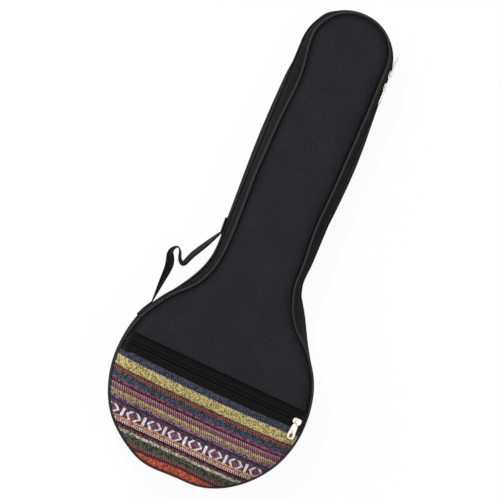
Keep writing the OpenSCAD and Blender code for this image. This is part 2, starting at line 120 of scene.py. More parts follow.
def drawn(z):
    """How far the side band has drawn in at a height: 0 on the widest line, 1 at a seam."""
    z = np.asarray(z, float)
    return ((z - BELLY_Z) / (np.where(z > BELLY_Z, FRONT_SEAM_Z, REAR_SEAM_Z) - BELLY_Z)) ** 2


SHIFT_FROM = float(drawn(SPLIT_Z + COIL_GAP / 2 + COIL_W))
HINGE_STEPS, BODY_STEPS, WAIST_STEPS, NECK_STEPS, HEAD_STEPS = 12, 104, 28, 60, 46


def add_column(rows, value):
    """Rows of numbers with one more in each: the same for all, or one for each."""
    return np.column_stack([rows, np.broadcast_to(value, len(rows))])


def size(rows):
    """The length of each row's vector."""
    return np.linalg.norm(rows, axis=1)


def unit(rows):
    """Each row as a direction of length 1."""
    return rows / size(rows)[:, None]


def beside(way):
    """Level directions to the right of other directions."""
    flat = unit(way[:, :2])
    return np.column_stack([flat[:, 1], -flat[:, 0], np.zeros(len(flat))])


def arc(x, y, r, a0, a1, n):
    a = np.radians(np.linspace(a0, a1, n + 1))
    return np.stack([x + r * np.cos(a), y + r * np.sin(a)], 1)


def half_outline(d, w):
    """Right half of the outline, from the bottom to the head, moved outward by d and drawn in by w."""
    body, neck = BODY_R - BODY_IN * w + d, NECK_R - NECK_IN * w + d
    waist = WAIST_R + (SEAM_WAIST_R - WAIST_R) * w - d
    turn = math.degrees(math.acos((neck + waist) / (body + waist)))
    cx, cy = arc(0, BODY_Y, body + waist, turn, turn, 0)[0]
    head = HEAD_Y + HEAD_SHIFT * max(0, (w - SHIFT_FROM) / (1 - SHIFT_FROM))
    return join([
        arc(0, BODY_Y, body, -90, HINGE_A - 90, HINGE_STEPS),
        arc(0, BODY_Y, body, HINGE_A - 90, turn, BODY_STEPS)[1:],
        arc(cx, cy, waist, 180 + turn, 180, WAIST_STEPS)[1:],
        np.linspace((neck, cy), (neck, head), NECK_STEPS + 1)[1:],
        arc(0, head, neck, 0, 90, HEAD_STEPS)[1:]])


def route(kind, d=0.0, w=1.0):
    """Points of a stretch of the outline, counter-clockwise: the whole of it, the zip's or the hinge's."""
    right = half_outline(d, w)
    left = right[::-1] * (-1, 1)
    if kind == "all":
        return join([right, left[1:-1]])
    if kind == "zip":
        return join([right[HINGE_STEPS:], left[1:-HINGE_STEPS]])
    return join([left[-1 - HINGE_STEPS:], right[1:HINGE_STEPS + 1]])


def smooth(x, a, b):
    """0 below a, 1 above b, and a soft step between them."""
    t = np.clip((np.asarray(x, float) - a) / (b - a), 0, 1)
    return t * t * (3 - 2 * t)


def wave(points, scale, seed):
    """Smooth noise from -1 to 1 at points given in millimetres."""
    return np.array([noise.noise(Vector((x / scale + seed, y / scale - seed, z / scale + 2 * seed)))
                     for x, y, z in points])


# A filled soft bag isn't a perfect form. Each row is a place in plan, how far it reaches, and how far the bag
# swells there (less than 0 where it is drawn in). The sliders' track stays true.
SWELLS = {
    "all": [(-113, -308, 48, 3.2), (-4, -361, 36, -6.6), (-58, -350, 24, 1.8), (145, -200, 62, -2.3),
            (-122, -132, 30, -2.6), (-84, -48, 36, -3.2), (-147, -190, 46, -2.2),
            (68, -34, 22, -3.0), (122, -130, 26, -1.4)],
    "rear": [(-69, 145, 105, 3.4), (69, 155, 88, 5.3), (76, -6, 44, -9.0), (110, -70, 44, 10.5),
             (-69, 292, 30, -7.0), (0, 361, 24, -3.6), (-48, 341, 18, 1.8), (50, 340, 20, 1.4)],
    "front": [(-57, 236, 44, -4.3), (-62, 296, 24, 2.6), (-57, 90, 50, 2.0), (-62, -50, 34, 3.2),
              (57, 42, 52, -5.0), (103, -76, 40, -5.5), (57, 120, 75, -2.6), (0, 361, 44, -2.4),
              (-144, -235, 85, 1.6), (0, -358, 70, 1.2)]}


def swell(p, kind):
    return sum(amount * np.exp(-((p[:, 0] - x) ** 2 + (p[:, 1] - y) ** 2) / reach ** 2)
               for x, y, reach, amount in SWELLS[kind])


def slack(points, inset=0.0, reach=16):
    """Moves points as the filled cloth stands, and less the further they lie inside the outline."""
    p = np.array(points, float)
    front = smooth(p[:, 2], SPLIT_Z + 8, FRONT_SEAM_Z - 1)
    rear = 1 - smooth(p[:, 2], BELLY_Z + 1, SPLIT_Z - 8)
    low = 1 - smooth(p[:, 2], REAR_SEAM_Z, BELLY_Z - 4)
    fade = np.exp(-np.asarray(inset) / reach)
    out = np.column_stack([p[:, 0], p[:, 1] - np.clip(p[:, 1], BODY_Y, HEAD_Y)])
    out /= np.maximum(size(out), 1)[:, None]
    amount = swell(p, "all") + rear * (1 - 0.4 * low) * swell(p, "rear") + front * swell(p, "front")
    seam = np.maximum(front, low)
    amount -= seam * np.abs(0.7 * wave(p * (1, 1, 0.3), 70, 3.3) + 0.25 * wave(p * (1, 1, 0.3), 22, 8.1))
    p[:, :2] += out * (fade * amount)[:, None]
    p[:, 2] += fade * seam * 0.5 * wave(p, 45, 5.7)
    return p


# ---- meshes
def map_cloth(mesh, uv):
    """Gives a mesh its cloth map; uv is each point's place on the cloth."""
    loops = np.zeros(len(mesh.loops), int)
    mesh.loops.foreach_get("vertex_index", loops)
    mesh.uv_layers.new(name="cloth").data.foreach_set("uv", (np.asarray(uv, float)[loops] * MM).ravel())


def shade_smooth(mesh):
    mesh.polygons.foreach_set("use_smooth", [True] * len(mesh.polygons))


def new_object(name, verts, faces, uv=None):
    """A mesh object from points; uv is a point's place on the cloth."""
    mesh = bpy.data.meshes.new(name)
    verts = [tuple(v) for v in np.asarray(verts, float) * MM]
    mesh.from_pydata(verts, [], [tuple(map(int, f)) for f in faces])
    if uv is not None:
        map_cloth(mesh, uv)
    shade_smooth(mesh)
    mesh.validate()
    return put_in_scene(name, mesh)


def points_of(obj):
    flat = np.zeros(len(obj.data.vertices) * 3)
    obj.data.vertices.foreach_get("co", flat)
    return flat.reshape(-1, 3) / MM


def put_points(obj, points):
    obj.data.vertices.foreach_set("co", (points * MM).ravel())
    obj.data.update()


def set_shade(obj, values):
    """How much painted shade darkens the cloth at each point of a mesh, for the materials to read."""
    obj.data.attributes.new("seam_shade", "FLOAT", "POINT").data.foreach_set("value", values)


def add_modifier(obj, kind, **settings):
    made = obj.modifiers.new(kind.lower(), kind)
    for key, value in settings.items():
        setattr(made, key, value)
    return made


def apply_modifiers(obj):
    """Puts the result of the modifiers into the object's own mesh."""
    bpy.context.view_layer.update()
    made = bpy.data.meshes.new_from_object(obj.evaluated_get(bpy.context.evaluated_depsgraph_get()))
    obj.modifiers.clear()
    obj.data = made
    made.name = obj.name


def modify(obj, kind, **settings):
    add_modifier(obj, kind, **settings)
    apply_modifiers(obj)


def thicken(obj, thickness):
    """Gives a face its thickness, on the inner side."""
    modify(obj, "SOLIDIFY", thickness=thickness * MM, offset=-1)


def finish_piece(obj, material, body, slot, *replaced):
    obj.data.materials.clear()
    obj.data.materials.append(material)
    if body:
        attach(obj, body)
    if replaced:
        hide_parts(*replaced)


def grid_faces(rows, columns, wrap_rows=False, wrap_columns=False):
    """Four-cornered faces between neighbours in a grid of points."""
    faces = []
    for k in range(rows if wrap_rows else rows - 1):
        for i in range(columns if wrap_columns else columns - 1):
            k1, i1 = (k + 1) % rows, (i + 1) % columns
            faces.append((k * columns + i, k * columns + i1, k1 * columns + i1, k1 * columns + i))
    return faces


def swept(name, rows, uvs=None, whole=False):
    """A tube over rows of points. A whole one closes on itself, another gets two caps."""
    n, m = len(rows[0]), len(rows)
    faces = grid_faces(m, n, True, whole)
    if not whole:
        faces += [tuple(k * n for k in range(m)), tuple(k * n + n - 1 for k in range(m - 1, -1, -1))]
    return new_object(name, join(rows), faces, uvs and join(uvs))


def lengths(points):
    """Distance run along a row of points."""
    return join([[0], np.cumsum(size(np.diff(points, axis=0)))])


def band_row(kind, d, z):
    """A row of points along the side band, at an outward offset and a height."""
    return slack(add_column(route(kind, d, float(drawn(z)) if REAR_SEAM_Z <= z <= FRONT_SEAM_Z else 1.0), z))


def loft(name, kind, section):
    """Runs a closed section along the outline. A section point is (outward offset, height)."""
    along = lengths(route(kind, 0, 0.5))
    rows = [band_row(kind, d, z) for d, z in section]
    return swept(name, rows, [add_column(along, v) for v in lengths(section)], kind == "all")


def layer_section(z0, z1, in0, in1, n, round_r=0.0):
    """Section of a layer of the side band; round_r rounds its two edges."""
    heights = np.linspace(z0, z1, n + 1)
    heights[0] += round_r
    heights[-1] -= round_r
    outer = [(-in0, z) for z in heights]
    inner = [(-in1, z) for z in heights[::-1]]
    if round_r:
        outer.append((-(in0 + in1) / 2, z1))
        inner.append((-(in0 + in1) / 2, z0))
    return outer + inner


def inside(points, ring):
    """Which of the points lie in a closed ring."""
    x, y = points[:, 0][:, None], points[:, 1][:, None]
    x0, y0 = ring.T[:, None]
    x1, y1 = np.roll(ring, -1, 0).T[:, None]
    crosses = ((y0 > y) != (y1 > y)) & (x < (x1 - x0) * (y - y0) / np.where(y1 == y0, 1e-9, y1 - y0) + x0)
    return crosses.sum(1) % 2 == 1


def distance_to(points, ring):
    """Shortest distance from each point to the straight pieces of a closed ring."""
    best = np.full(len(points), 1e9)
    for a, b in zip(ring, np.roll(ring, -1, 0)):
        ab = b - a
        t = np.clip(((points - a) @ ab) / max(ab @ ab, 1e-9), 0, 1)
        best = np.minimum(best, size(points - (a + t[:, None] * ab)))
    return best


def sheet_in(ring, spacing):
    """Even triangles that fill a ring: their points, the ring's own first, and the faces."""
    lo, hi = ring.min(0), ring.max(0)
    rise = spacing * math.sqrt(3) / 2
    rows = []
    for k, y in enumerate(np.arange(lo[1] + rise, hi[1], rise)):
        rows.append(add_column(np.arange(lo[0] + spacing * (k % 2) / 2, hi[0], spacing), y))
    grid = join(rows)
    grid = grid[inside(grid, ring)]
    grid = grid[distance_to(grid, ring) > spacing * 0.6]
    edges = [(i, (i + 1) % len(ring)) for i in range(len(ring))]
    made = delaunay_2d_cdt([Vector(p) for p in join([ring, grid])], edges, [], 1, 1e-5)
    return np.array([tuple(v) for v in made[0]]), [tuple(f) for f in made[2]]


def every(points, spacing):
    """Thins a ring of points to about that spacing."""
    kept = [points[0]]
    for p in points[1:]:
        if np.linalg.norm(p - kept[-1]) >= spacing:
            kept.append(p)
    if np.linalg.norm(kept[-1] - kept[0]) < spacing * 0.5:
        kept.pop()
    return np.array(kept)


# ---- materials
def srgb(*levels):
    parts = [level / 255 for level in levels]
    return (*(c / 12.92 if c <= 0.04045 else ((c + 0.055) / 1.055) ** 2.4 for c in parts), 1)


def sign(kind, turned=False):
    """What a sign does between two values of a node tree: it adds a math node of this kind."""
    return lambda a, b=0.0: a.nodes.math(kind, b, a) if turned else a.nodes.math(kind, a, b)


class Value:
    """An output in a node tree. The usual signs make new values from it."""

    __add__ = __radd__ = sign("ADD")
    __mul__ = __rmul__ = sign("MULTIPLY")
    __sub__ = sign("SUBTRACT")
    __rsub__ = sign("SUBTRACT", True)
    __truediv__ = sign("DIVIDE")
    __lt__ = sign("LESS_THAN")
    __gt__ = sign("GREATER_THAN")
    __abs__ = sign("ABSOLUTE")
    __floor__ = sign("FLOOR")

    def __init__(self, nodes, socket):
        self.nodes = nodes
        self.socket = socket

    def output(self, name):
        """Another output of the same node."""
        return Value(self.nodes, self.socket.node.outputs[name])


class Nodes:
    """Short names for building the node tree of a material or of the world."""

    def __init__(self, name, kind="materials"):
        self.owner = getattr(bpy.data, kind).new(name)
        self.owner.use_nodes = True
        self.tree = self.owner.node_tree

    def link(self, value, socket):
        if isinstance(value, Value):
            self.tree.links.new(value.socket, socket)
        else:
            socket.default_value = value

    def node(self, kind, inputs=None, output=0, **settings):
        """Adds a node, fills its inputs and gives one of its outputs."""
        made = self.tree.nodes.new("ShaderNode" + kind)
        for key, value in settings.items():
            setattr(made, key, value)
        for key, value in (inputs or {}).items():
            self.link(value, made.inputs[key])
        return Value(self, made.outputs[output])

    def math(self, operation, a, b=0.0):
        return self.node("Math", {0: a, 1: b}, operation=operation)

    def mix(self, share, a, b, blend_type="MIX"):
        return self.node("Mix", {0: share, 6: a, 7: b}, 2, data_type="RGBA", blend_type=blend_type)

    def ramp(self, place, stops, interpolation="LINEAR"):
        """Colours over a value; stops are (place, colour)."""
        made = self.node("ValToRGB", {0: place})
        ramp = made.socket.node.color_ramp
        ramp.interpolation = interpolation
        while len(ramp.elements) < len(stops):
            ramp.elements.new(0.5)
        for element, (position, colour) in zip(ramp.elements, sorted(stops, key=lambda s: s[0])):
            element.position = position
            element.color = colour
        return made

    def noise(self, vector, scale, detail=2.0, roughness=0.5):
        inputs = {"Vector": vector, "Scale": scale, "Detail": detail, "Roughness": roughness}
        return self.node("TexNoise", inputs)

    def cloth(self):
        """The two directions of the cloth, in metres, and the place on it."""
        place = self.node("UVMap", uv_map="cloth")
        u = self.node("SeparateXYZ", {0: place})
        return u, u.output(1), place

    def ridges(self, value, pitch):
        """0 to 1 and back once in a pitch."""
        return abs(self.math("SINE", value * (math.pi / (pitch * MM))))

    def bump(self, height, distance, strength=1.0):
        return self.node("Bump", {"Strength": strength, "Distance": distance * MM, "Height": height})

    def shaded(self, colour):
        """Painted shade: the colour is darker where the cloth is drawn into a seam, as much as the seam_shade
        attribute says.
        """
        painted_seam_shade = self.node("Attribute", output="Fac", attribute_name="seam_shade")
        return self.mix(painted_seam_shade, colour, (0, 0, 0, 1))

    def finish(self, colour, roughness, normal, **more):
        more.update(Base_Color=colour, Roughness=roughness, Normal=normal)
        for key, value in more.items():
            self.link(value, self.tree.nodes["Principled BSDF"].inputs[key.replace("_", " ")])
        return self.owner


def woven_nylon(name, light, dark, pitch=1.4, depth=0.3, sheen=0.0):
    """Plain-woven packcloth: square over-and-under cells with painted shade in their dips and painted light
    on every other crossing, light speckles and slow changes of tone.
    """
    n = Nodes(name)
    u, v, place = n.cloth()
    across, along = n.ridges(u, pitch), n.ridges(v, pitch)
    turn = math.pi / (pitch * MM)
    over = n.math("SINE", u * turn) * n.math("SINE", v * turn) > 0.0
    height = across * along * 0.7 + (over * across + (1.0 - over) * along) * 0.3
    # The colour follows the weave's relief and which yarn lies on top, as painted shade and painted light,
    # over light speckles and slow random tone
    shade = height * 0.3 + n.noise(place, 18, 3, 0.6) * 0.3 + n.noise(place, 430, 2, 0.7) * 0.9 + over * 0.35
    colour = n.shaded(n.ramp(shade, [(0.6, dark), (1.0, light)]))
    return n.finish(colour, n.noise(place, 900, 1) * 0.2 + 0.62, n.bump(height, depth), Sheen_Weight=sheen,
                    Sheen_Roughness=0.5, Sheen_Tint=(0.8, 0.8, 0.9, 1), Specular_IOR_Level=0.05)


def ribbed_webbing(name, light, dark, pitch=1.7):
    """Webbing or tape: fine ribs across its length, with a herringbone turn down the middle."""
    n = Nodes(name)
    u, v, place = n.cloth()
    height = n.ridges(u + abs(v) * 0.55, pitch) * 0.65 + n.ridges(v, pitch * 0.62) * 0.35
    fleck = n.noise(place, 700, 1)
    # Painted shade: the colour is darker in the dips between the ribs, with random flecks
    colour = n.ramp(height * 0.7 + fleck * 0.4, [(0.15, dark), (0.95, light)])
    return n.finish(colour, fleck * 0.25 + 0.5, n.bump(height, 0.35), Sheen_Weight=0.02,
                    Specular_IOR_Level=0.05)


def covered_cord(name, light, dark):
    """Satin binding pulled round a cord, with slight diagonal puckers."""
    n = Nodes(name)
    u, v, place = n.cloth()
    fleck = n.noise(place, 260, 2, 0.6)
    height = n.ridges(u + v, 3.2) * 0.5 + fleck
    colour = n.shaded(n.ramp(fleck, [(0.3, dark), (0.75, light)]))
    return n.finish(colour, fleck * 0.2 + 0.35, n.bump(height, 0.25, 0.6), Specular_IOR_Level=0.09)


def smooth_lining(name, light, dark):
    n = Nodes(name)
    u, v, place = n.cloth()
    fine = n.ridges(u, 0.8) * n.ridges(v, 0.8)
    crease = n.noise(place, 30, 3, 0.6)
    # Painted shade: the colour is darker in the dips of the fine weave and of the creases
    colour = n.ramp(fine * 0.3 + crease * 0.7, [(0.25, dark), (0.8, light)])
    return n.finish(colour, 0.42, n.bump(fine * 0.15 + crease, 0.9), Sheen_Weight=0.2)


def plated_metal(name, dull, bright):
    """Plating on a die casting: bright, with faint ripples and tarnish."""
    n = Nodes(name)
    place = n.node("TexCoord", output="Object")
    tarnish = n.noise(place, 90, 3, 0.65)
    colour = n.ramp(tarnish, [(0.3, dull), (0.7, bright)])
    return n.finish(colour, tarnish * 0.2 + 0.3, n.bump(n.noise(place, 240), 0.05), Metallic=1.0)


def moulded_plastic(name, colour, roughness, specular=0.2):
    n = Nodes(name)
    place = n.node("TexCoord", output="Object")
    cloud = n.noise(place, 60)
    dark = (*(c * 0.7 for c in colour[:3]), 1)
    return n.finish(n.ramp(cloud, [(0.3, dark), (0.7, colour)]), cloud * 0.12 + roughness,
                    n.bump(n.noise(place, 1500, 2, 0.6), 0.05), Specular_IOR_Level=specular)


# Stripes of the pocket's cloth, from the top down: height of the upper edge over the middle of the body, the
# two yarn colours, how strictly they take turns (1 is a row of dots), and the share of the second colour in a
# heather mix, which is a half where it isn't given
STRIPES = [
    (0, (84, 86, 92), (20, 22, 26), 0.6), (-9.6, (68, 72, 92), (40, 44, 58), 0),
    (-14.6, (60, 66, 88), (14, 16, 24), 0.9), (-16.3, (150, 146, 116), (24, 26, 28), 0.8),
    (-17.3, (196, 179, 118), (140, 127, 80), 0), (-30.9, (112, 108, 92), (40, 40, 44), 0.8),
    (-32.3, (84, 70, 80), (28, 22, 30), 0), (-34.1, (190, 84, 92), (30, 26, 30), 1),
    (-36.1, (118, 86, 70), (34, 32, 30), 0.5), (-38.1, (90, 88, 72), (42, 42, 44), 0),
    (-39.9, (68, 72, 76), (12, 14, 22), 1), (-41.5, (62, 80, 102), (38, 48, 64), 0),
    (-46.3, (104, 74, 96), (58, 52, 66), 0), (-47.9, (146, 76, 100), (80, 44, 60), 0),
    (-50.5, (104, 40, 58), (48, 20, 28), 0, 0.45), (-52.3, (62, 40, 46), (24, 18, 22), 0),
    (-53.7, (182, 162, 162), (50, 36, 42), 1), (-55.7, (184, 106, 110), (60, 40, 58), 0.9),
    (-57.7, (142, 92, 130), (62, 44, 60), 0.9), (-59.7, (148, 72, 98), (56, 40, 52), 0.9),
    (-61.5, (198, 180, 126), (78, 66, 54), 0.6, 0.45), (-65.3, (154, 156, 102), (58, 56, 46), 0.9),
    (-67.5, (176, 160, 134), (62, 52, 48), 0.7), (-68.9, (164, 94, 120), (92, 54, 76), 0),
    (-72.5, (86, 84, 120), (44, 46, 66), 0), (-73.9, (40, 56, 76), (10, 12, 18), 0.8),
    (-76.3, (98, 66, 76), (50, 46, 48), 0), (-92.5, (214, 178, 122), (122, 100, 70), 0.4),
    (-94.5, (204, 104, 74), (128, 58, 42), 0.4), (-96.1, (216, 182, 172), (152, 112, 106), 0, 0.45),
    (-97.7, (206, 192, 190), (20, 16, 20), 1), (-100.9, (30, 16, 20), (14, 9, 11), 0),
    (-103.1, (134, 50, 66), (60, 22, 34), 0, 0.45), (-105.1, (102, 72, 74), (54, 52, 52), 0),
    (-107.3, (188, 190, 166), (112, 114, 98), 0), (-111.3, (80, 84, 68), (46, 48, 42), 0),
    (-120.8, (158, 82, 92), (46, 46, 44), 0.8), (-125.2, (82, 62, 54), (16, 10, 10), 0.9),
    (-129.0, (214, 96, 66), (142, 60, 44), 0, 0.45), (-150,)]
RAMP_SPLIT = 20
DOT_PITCH, ROW_PITCH = 3.17, 1.48
DOT_TOP, DOT_ROW = 53.7, 2.0
# The motif: a row of bars and open diamonds, one of each in a stretch of MOTIF_DOTS dots
MOTIF_Y, MOTIF_HALF, MOTIF_DOTS = -86.0, 6.2, 10
BAR_X, BAR_W = -4.2, 3.9
DIAMOND_LEFT, DIAMOND_RIGHT = 11.0, 28.8
LEFT_LEAN, RIGHT_LEAN = 0.92, 1.3
MOTIF_YARN, HEART_YARN = srgb(240, 234, 242), srgb(160, 92, 134)
SAG = 0.000135


def stripe_value(n, height, pick):
    """A value of the stripes over the height, from two stepped ramps, since one can't hold so many steps."""
    ramps = []
    for first, last in ((0, RAMP_SPLIT), (RAMP_SPLIT, len(STRIPES) - 1)):
        top, low = STRIPES[first][0] * MM, STRIPES[last][0] * MM
        stops = [((STRIPES[i + 1][0] * MM - low) / (top - low), pick(STRIPES[i])) for i in range(first, last)]
        ramps.append(n.ramp((height - low) / (top - low), stops, "CONSTANT"))
    return n.mix(height < STRIPES[RAMP_SPLIT][0] * MM, *ramps)


def woven_stripes(name):
    """Striped handloom cloth: each crossing shows one of two yarns, in dotted rows or in a heather mix."""
    n = Nodes(name)
    u, v, place = n.cloth()
    height = v - u * u * (SAG / MM) + (n.noise(place, 120, 1) * 0.0016 - 0.0008)
    column = u / (DOT_PITCH / 2 * MM)
    crossing = n.node("CombineXYZ", {0: math.floor(column), 1: math.floor(height / (ROW_PITCH * MM))})
    chance = n.node("TexWhiteNoise", {"Vector": crossing}, "Value", noise_dimensions="2D")
    strict = n.node("SeparateColor", {0: stripe_value(n, height, lambda s: (s[3], (*s, 0.5)[4], 0, 1))})
    heather = chance + (n.noise(place, 260, 1) * 0.4 - 0.2) < strict.output(1)
    turn = math.floor((height + DOT_TOP * MM) / (DOT_ROW * MM))
    dots = n.math("SINE", (turn * 0.5 + column) * math.pi) > 0.0
    first, second = (stripe_value(n, height, lambda s, k=k: srgb(*s[k])) for k in (1, 2))
    colour = n.mix(dots * strict + heather * (1.0 - strict), first, second)
    # The motif in off-white yarn, stepped by the rows
    repeat = (u - (BAR_X - BAR_W) * MM) / (DOT_PITCH * MOTIF_DOTS * MM)
    across = (repeat - math.floor(repeat)) * (DOT_PITCH * MOTIF_DOTS)
    off = abs((height - MOTIF_Y * MM) / MM)
    steps = math.floor(off / ROW_PITCH) * (ROW_PITCH * LEFT_LEAN)
    left = across - (steps + DIAMOND_LEFT)
    right = (DIAMOND_RIGHT - steps * RIGHT_LEAN) - across
    arms = n.math("MINIMUM", abs(left), abs(right)) < BAR_W / 2
    heart = (n.math("MINIMUM", left, right) > 0.0) * (off < MOTIF_HALF - 1)
    colour = n.mix(heart * chance * 0.6, colour, HEART_YARN)
    motif = n.math("MAXIMUM", abs(across - BAR_W) < BAR_W / 2, arms) * (off < MOTIF_HALF)
    colour = n.mix(motif * (chance * 0.35 + 0.65), colour, MOTIF_YARN)
    # Painted shade: yarns are darker where they dive under each other, in the dips between ribs and between
    # rows; each crossing also gets a random tone
    ribs, rows = n.ridges(u, DOT_PITCH / 2), n.ridges(height, ROW_PITCH)
    shade = (ribs * 0.45 + 0.6) * (rows * 0.35 + 0.7) * (chance * 0.4 + 0.75)
    relief = ribs * 0.5 + rows * 0.35 + chance * 0.3 + motif * 0.35
    return n.finish(n.mix(1.0, colour, shade, "MULTIPLY"), 0.85, n.bump(relief, 0.6), Sheen_Weight=0.05,
                    Specular_IOR_Level=0.12)


M_PANEL = woven_nylon("front_packcloth", srgb(42, 41, 47), srgb(3, 3, 5), pitch=1.45, sheen=0.04)
M_BAND = woven_nylon("side_packcloth", srgb(36, 36, 36), srgb(5, 5, 5))
M_PLAIN = woven_nylon("plain_band_cloth", srgb(17, 17, 17), srgb(3, 3, 3), pitch=0.9, depth=0.12)
# The piping's colour is lighter than the cloth's; painted shade leaves it only along the cord's top, as a
# painted highlight
M_PIPING = covered_cord("piping_cover", srgb(54, 54, 57), srgb(30, 30, 32))
M_LINING = smooth_lining("grey_lining", srgb(96, 96, 104), srgb(56, 56, 62))
M_TAPE = ribbed_webbing("zip_tape_weave", srgb(20, 20, 21), srgb(2, 2, 3), pitch=1.1)
M_WEBBING = ribbed_webbing("strap_webbing_weave", srgb(23, 23, 24), srgb(3, 3, 3))
M_COIL = moulded_plastic("nylon_coil", srgb(15, 15, 16), 0.5)
M_THREAD = moulded_plastic("sewing_thread", srgb(40, 40, 43), 0.6)
M_NICKEL = plated_metal("nickel_plate", srgb(186, 180, 171), srgb(228, 222, 213))
M_BLACKENED = plated_metal("blackened_plate", srgb(30, 30, 31), srgb(52, 52, 54))
M_PLASTIC = moulded_plastic("moulded_acetal", srgb(30, 30, 32), 0.42, 0.5)
M_WOVEN = woven_stripes("striped_handloom")


# ---- panels and padding
# SEAM_SHADE and CORD_SHADE are the strengths of painted shade at the seams and on the piping cord's sides;
# SEAM_REACH is how far the painted shade reaches from a seam
SEAM_DIP, SEAM_SHADE, SEAM_REACH, CORD_SHADE = 0.8, 0.92, 5.0, 0.9
CLOTH_REACH = 28
ALLOWANCE = 6


def crown(inset):
    return CROWN_H * np.sin(np.pi / 2 * np.minimum(inset / CROWN_W, 1))


def turned_over(verts, faces):
    """The front panel's form as the back panel's."""
    verts[:, 2] = REAR_SEAM_Z + FRONT_SEAM_Z - verts[:, 2]
    return verts, [f[::-1] for f in faces]


def panel(side, spacing, ripple):
    """A crowned sheet that fills the seam's outline."""
    points, faces = sheet_in(every(route("all", -SHEET_IN), 3.2), spacing)
    inset = distance_to(points, route("all"))
    verts = add_column(points, FRONT_SEAM_Z + crown(inset))
    waves = wave(verts * (1, 0.7, 0), 62, 1.7) + 0.45 * wave(verts * (1, 1, 0), 27, 4.2)
    verts[:, 2] += smooth(inset, 3, 16) * ripple * waves - SEAM_DIP * np.exp(-(inset - SHEET_IN) / 3)
    if side == "back":
        verts, faces = turned_over(verts, faces)
    obj = new_object(f"{side}_cloth", slack(verts, inset - SHEET_IN, CLOTH_REACH), faces, points)
    # Painted shade along the seam, strongest at the cloth's edge where it dips beside the piping
    set_shade(obj, SEAM_SHADE * np.exp(-(inset - SHEET_IN) / SEAM_REACH))
    thicken(obj, CLOTH_T)
    finish_piece(obj, M_PANEL, f"{side}_half", "nylon_cloth", f"{side}_panel")
    cut = route("all", ALLOWANCE)


def padding(side):
    """The foam of a panel in its lining: a pad with round borders, quilted by its own slack."""
    ring = every(route("all", -PAD_IN), 4)
    points, faces = sheet_in(ring, 9)
    n, count = len(points), len(ring)
    inset = distance_to(points, ring)
    soft_edge = smooth(inset, 0, 6)
    depth = CLOTH_T + LAYER_GAP
    top = FRONT_SEAM_Z + crown(distance_to(points, route("all"))) - depth - (1 - soft_edge) * 0.5
    under = FRONT_Z - depth - FOAM_T - LINING_T
    low = under + (1 - soft_edge) * 1.6 + soft_edge * 0.5 * wave(add_column(points, 0), 40, 6.1) + 0.2
    verts = join([add_column(points, top), add_column(points, low)])
    faces += [tuple(i + n for i in f[::-1]) for f in faces]
    faces += [(i, i + n, (i + 1) % count + n, (i + 1) % count) for i in range(count)]
    if side == "back":
        verts, faces = turned_over(verts, faces)
    verts = slack(verts, join([inset, inset]) + 4, CLOTH_REACH)
    obj = new_object(f"{side}_padding", verts, faces, join([points, points]))
    finish_piece(obj, M_LINING, f"{side}_half", "lining", f"{side}_foam", f"{side}_lining")


panel("front", 4.2, 0.9)
panel("back", 5.5, 0.7)
padding("front")
padding("back")

# ---- side band
HALF = {"front": "front_half", "rear": "back_half"}
HEM, HEM_RISE = 5.5, 0.7
HEM_FORM = [(0.1, HEM), (HEM_RISE, HEM - 1.2), (HEM_RISE, 1.1), (HEM_RISE * 0.55, 0.35), (-CLOTH_T / 2, 0)]
ZIP_RUN = lengths(route("zip", 0, 0.3))[-1]
HINGE_RUN = lengths(route("hinge", 0, 0.3))[-1]


def band_section(seam_z, hem_z, n):
    """Cloth of the side band; next to the zip it is folded under, so it is thicker there."""
    up = 1 if hem_z > seam_z else -1
    outer = [(0.0, z) for z in np.linspace(seam_z, hem_z, n + 1) if abs(hem_z - z) > HEM + 1]
    outer += [(x, hem_z - up * z) for x, z in HEM_FORM]
    inner = [(-CLOTH_T, z) for z in np.linspace(hem_z, seam_z, n + 1)[1:]]
    return outer[::up] + inner[::up]


def side_band(name, seam_z, hem_z, n, shade, fall):
    """One strip of the band in n steps of height, with painted shade: an even amount, and more by fall
    towards the seam.
    """
    obj = loft(f"{name}_band_cloth", "zip", band_section(seam_z, hem_z, n))
    inset = (points_of(obj)[:, 2] - seam_z) * np.sign(hem_z - seam_z)
    set_shade(obj, shade + fall * np.exp(-inset / SEAM_REACH))
    finish_piece(obj, M_BAND, HALF[name], "nylon_cloth", f"{name}_gusset")


def side_padding(name, z0, z1):
    section = layer_section(z0, z1, CLOTH_T + TAPE_T + 2 * LAYER_GAP, BAND_IN, 5, PAD_ROUND)
    obj = loft(f"{name}_side_padding", "all", section)
    finish_piece(obj, M_LINING, HALF[name], "lining", f"{name}_gusset_foam", f"{name}_gusset_lining")


def piping(name, seam_z):
    turns = np.linspace(0, 2 * math.pi, 17)[:-1]
    along = lengths(route("all"))
    rows = [slack(add_column(route("all", BAND_EDGE * math.cos(a)), seam_z)) + (0, 0, BAND_EDGE * math.sin(a))
            for a in turns]
    obj = swept(f"{name}_piping_cord", rows, [add_column(along, k * 0.9) for k in range(len(turns))], True)
    aside, rise = np.repeat(BAND_EDGE * np.array([np.cos(turns), np.sin(turns)]), len(along), axis=1)
    hidden = rise < 0 if name == "front" else rise > 0
    # Painted shade on the cord's sides and on its half that faces into the bag, so its light colour shows
    # only as a narrow strip along its top, a painted highlight
    set_shade(obj, CORD_SHADE * np.maximum(smooth(np.abs(aside), 0.7, 1.7), hidden))
    finish_piece(obj, M_PIPING, HALF[name], "piping", f"{name}_piping")


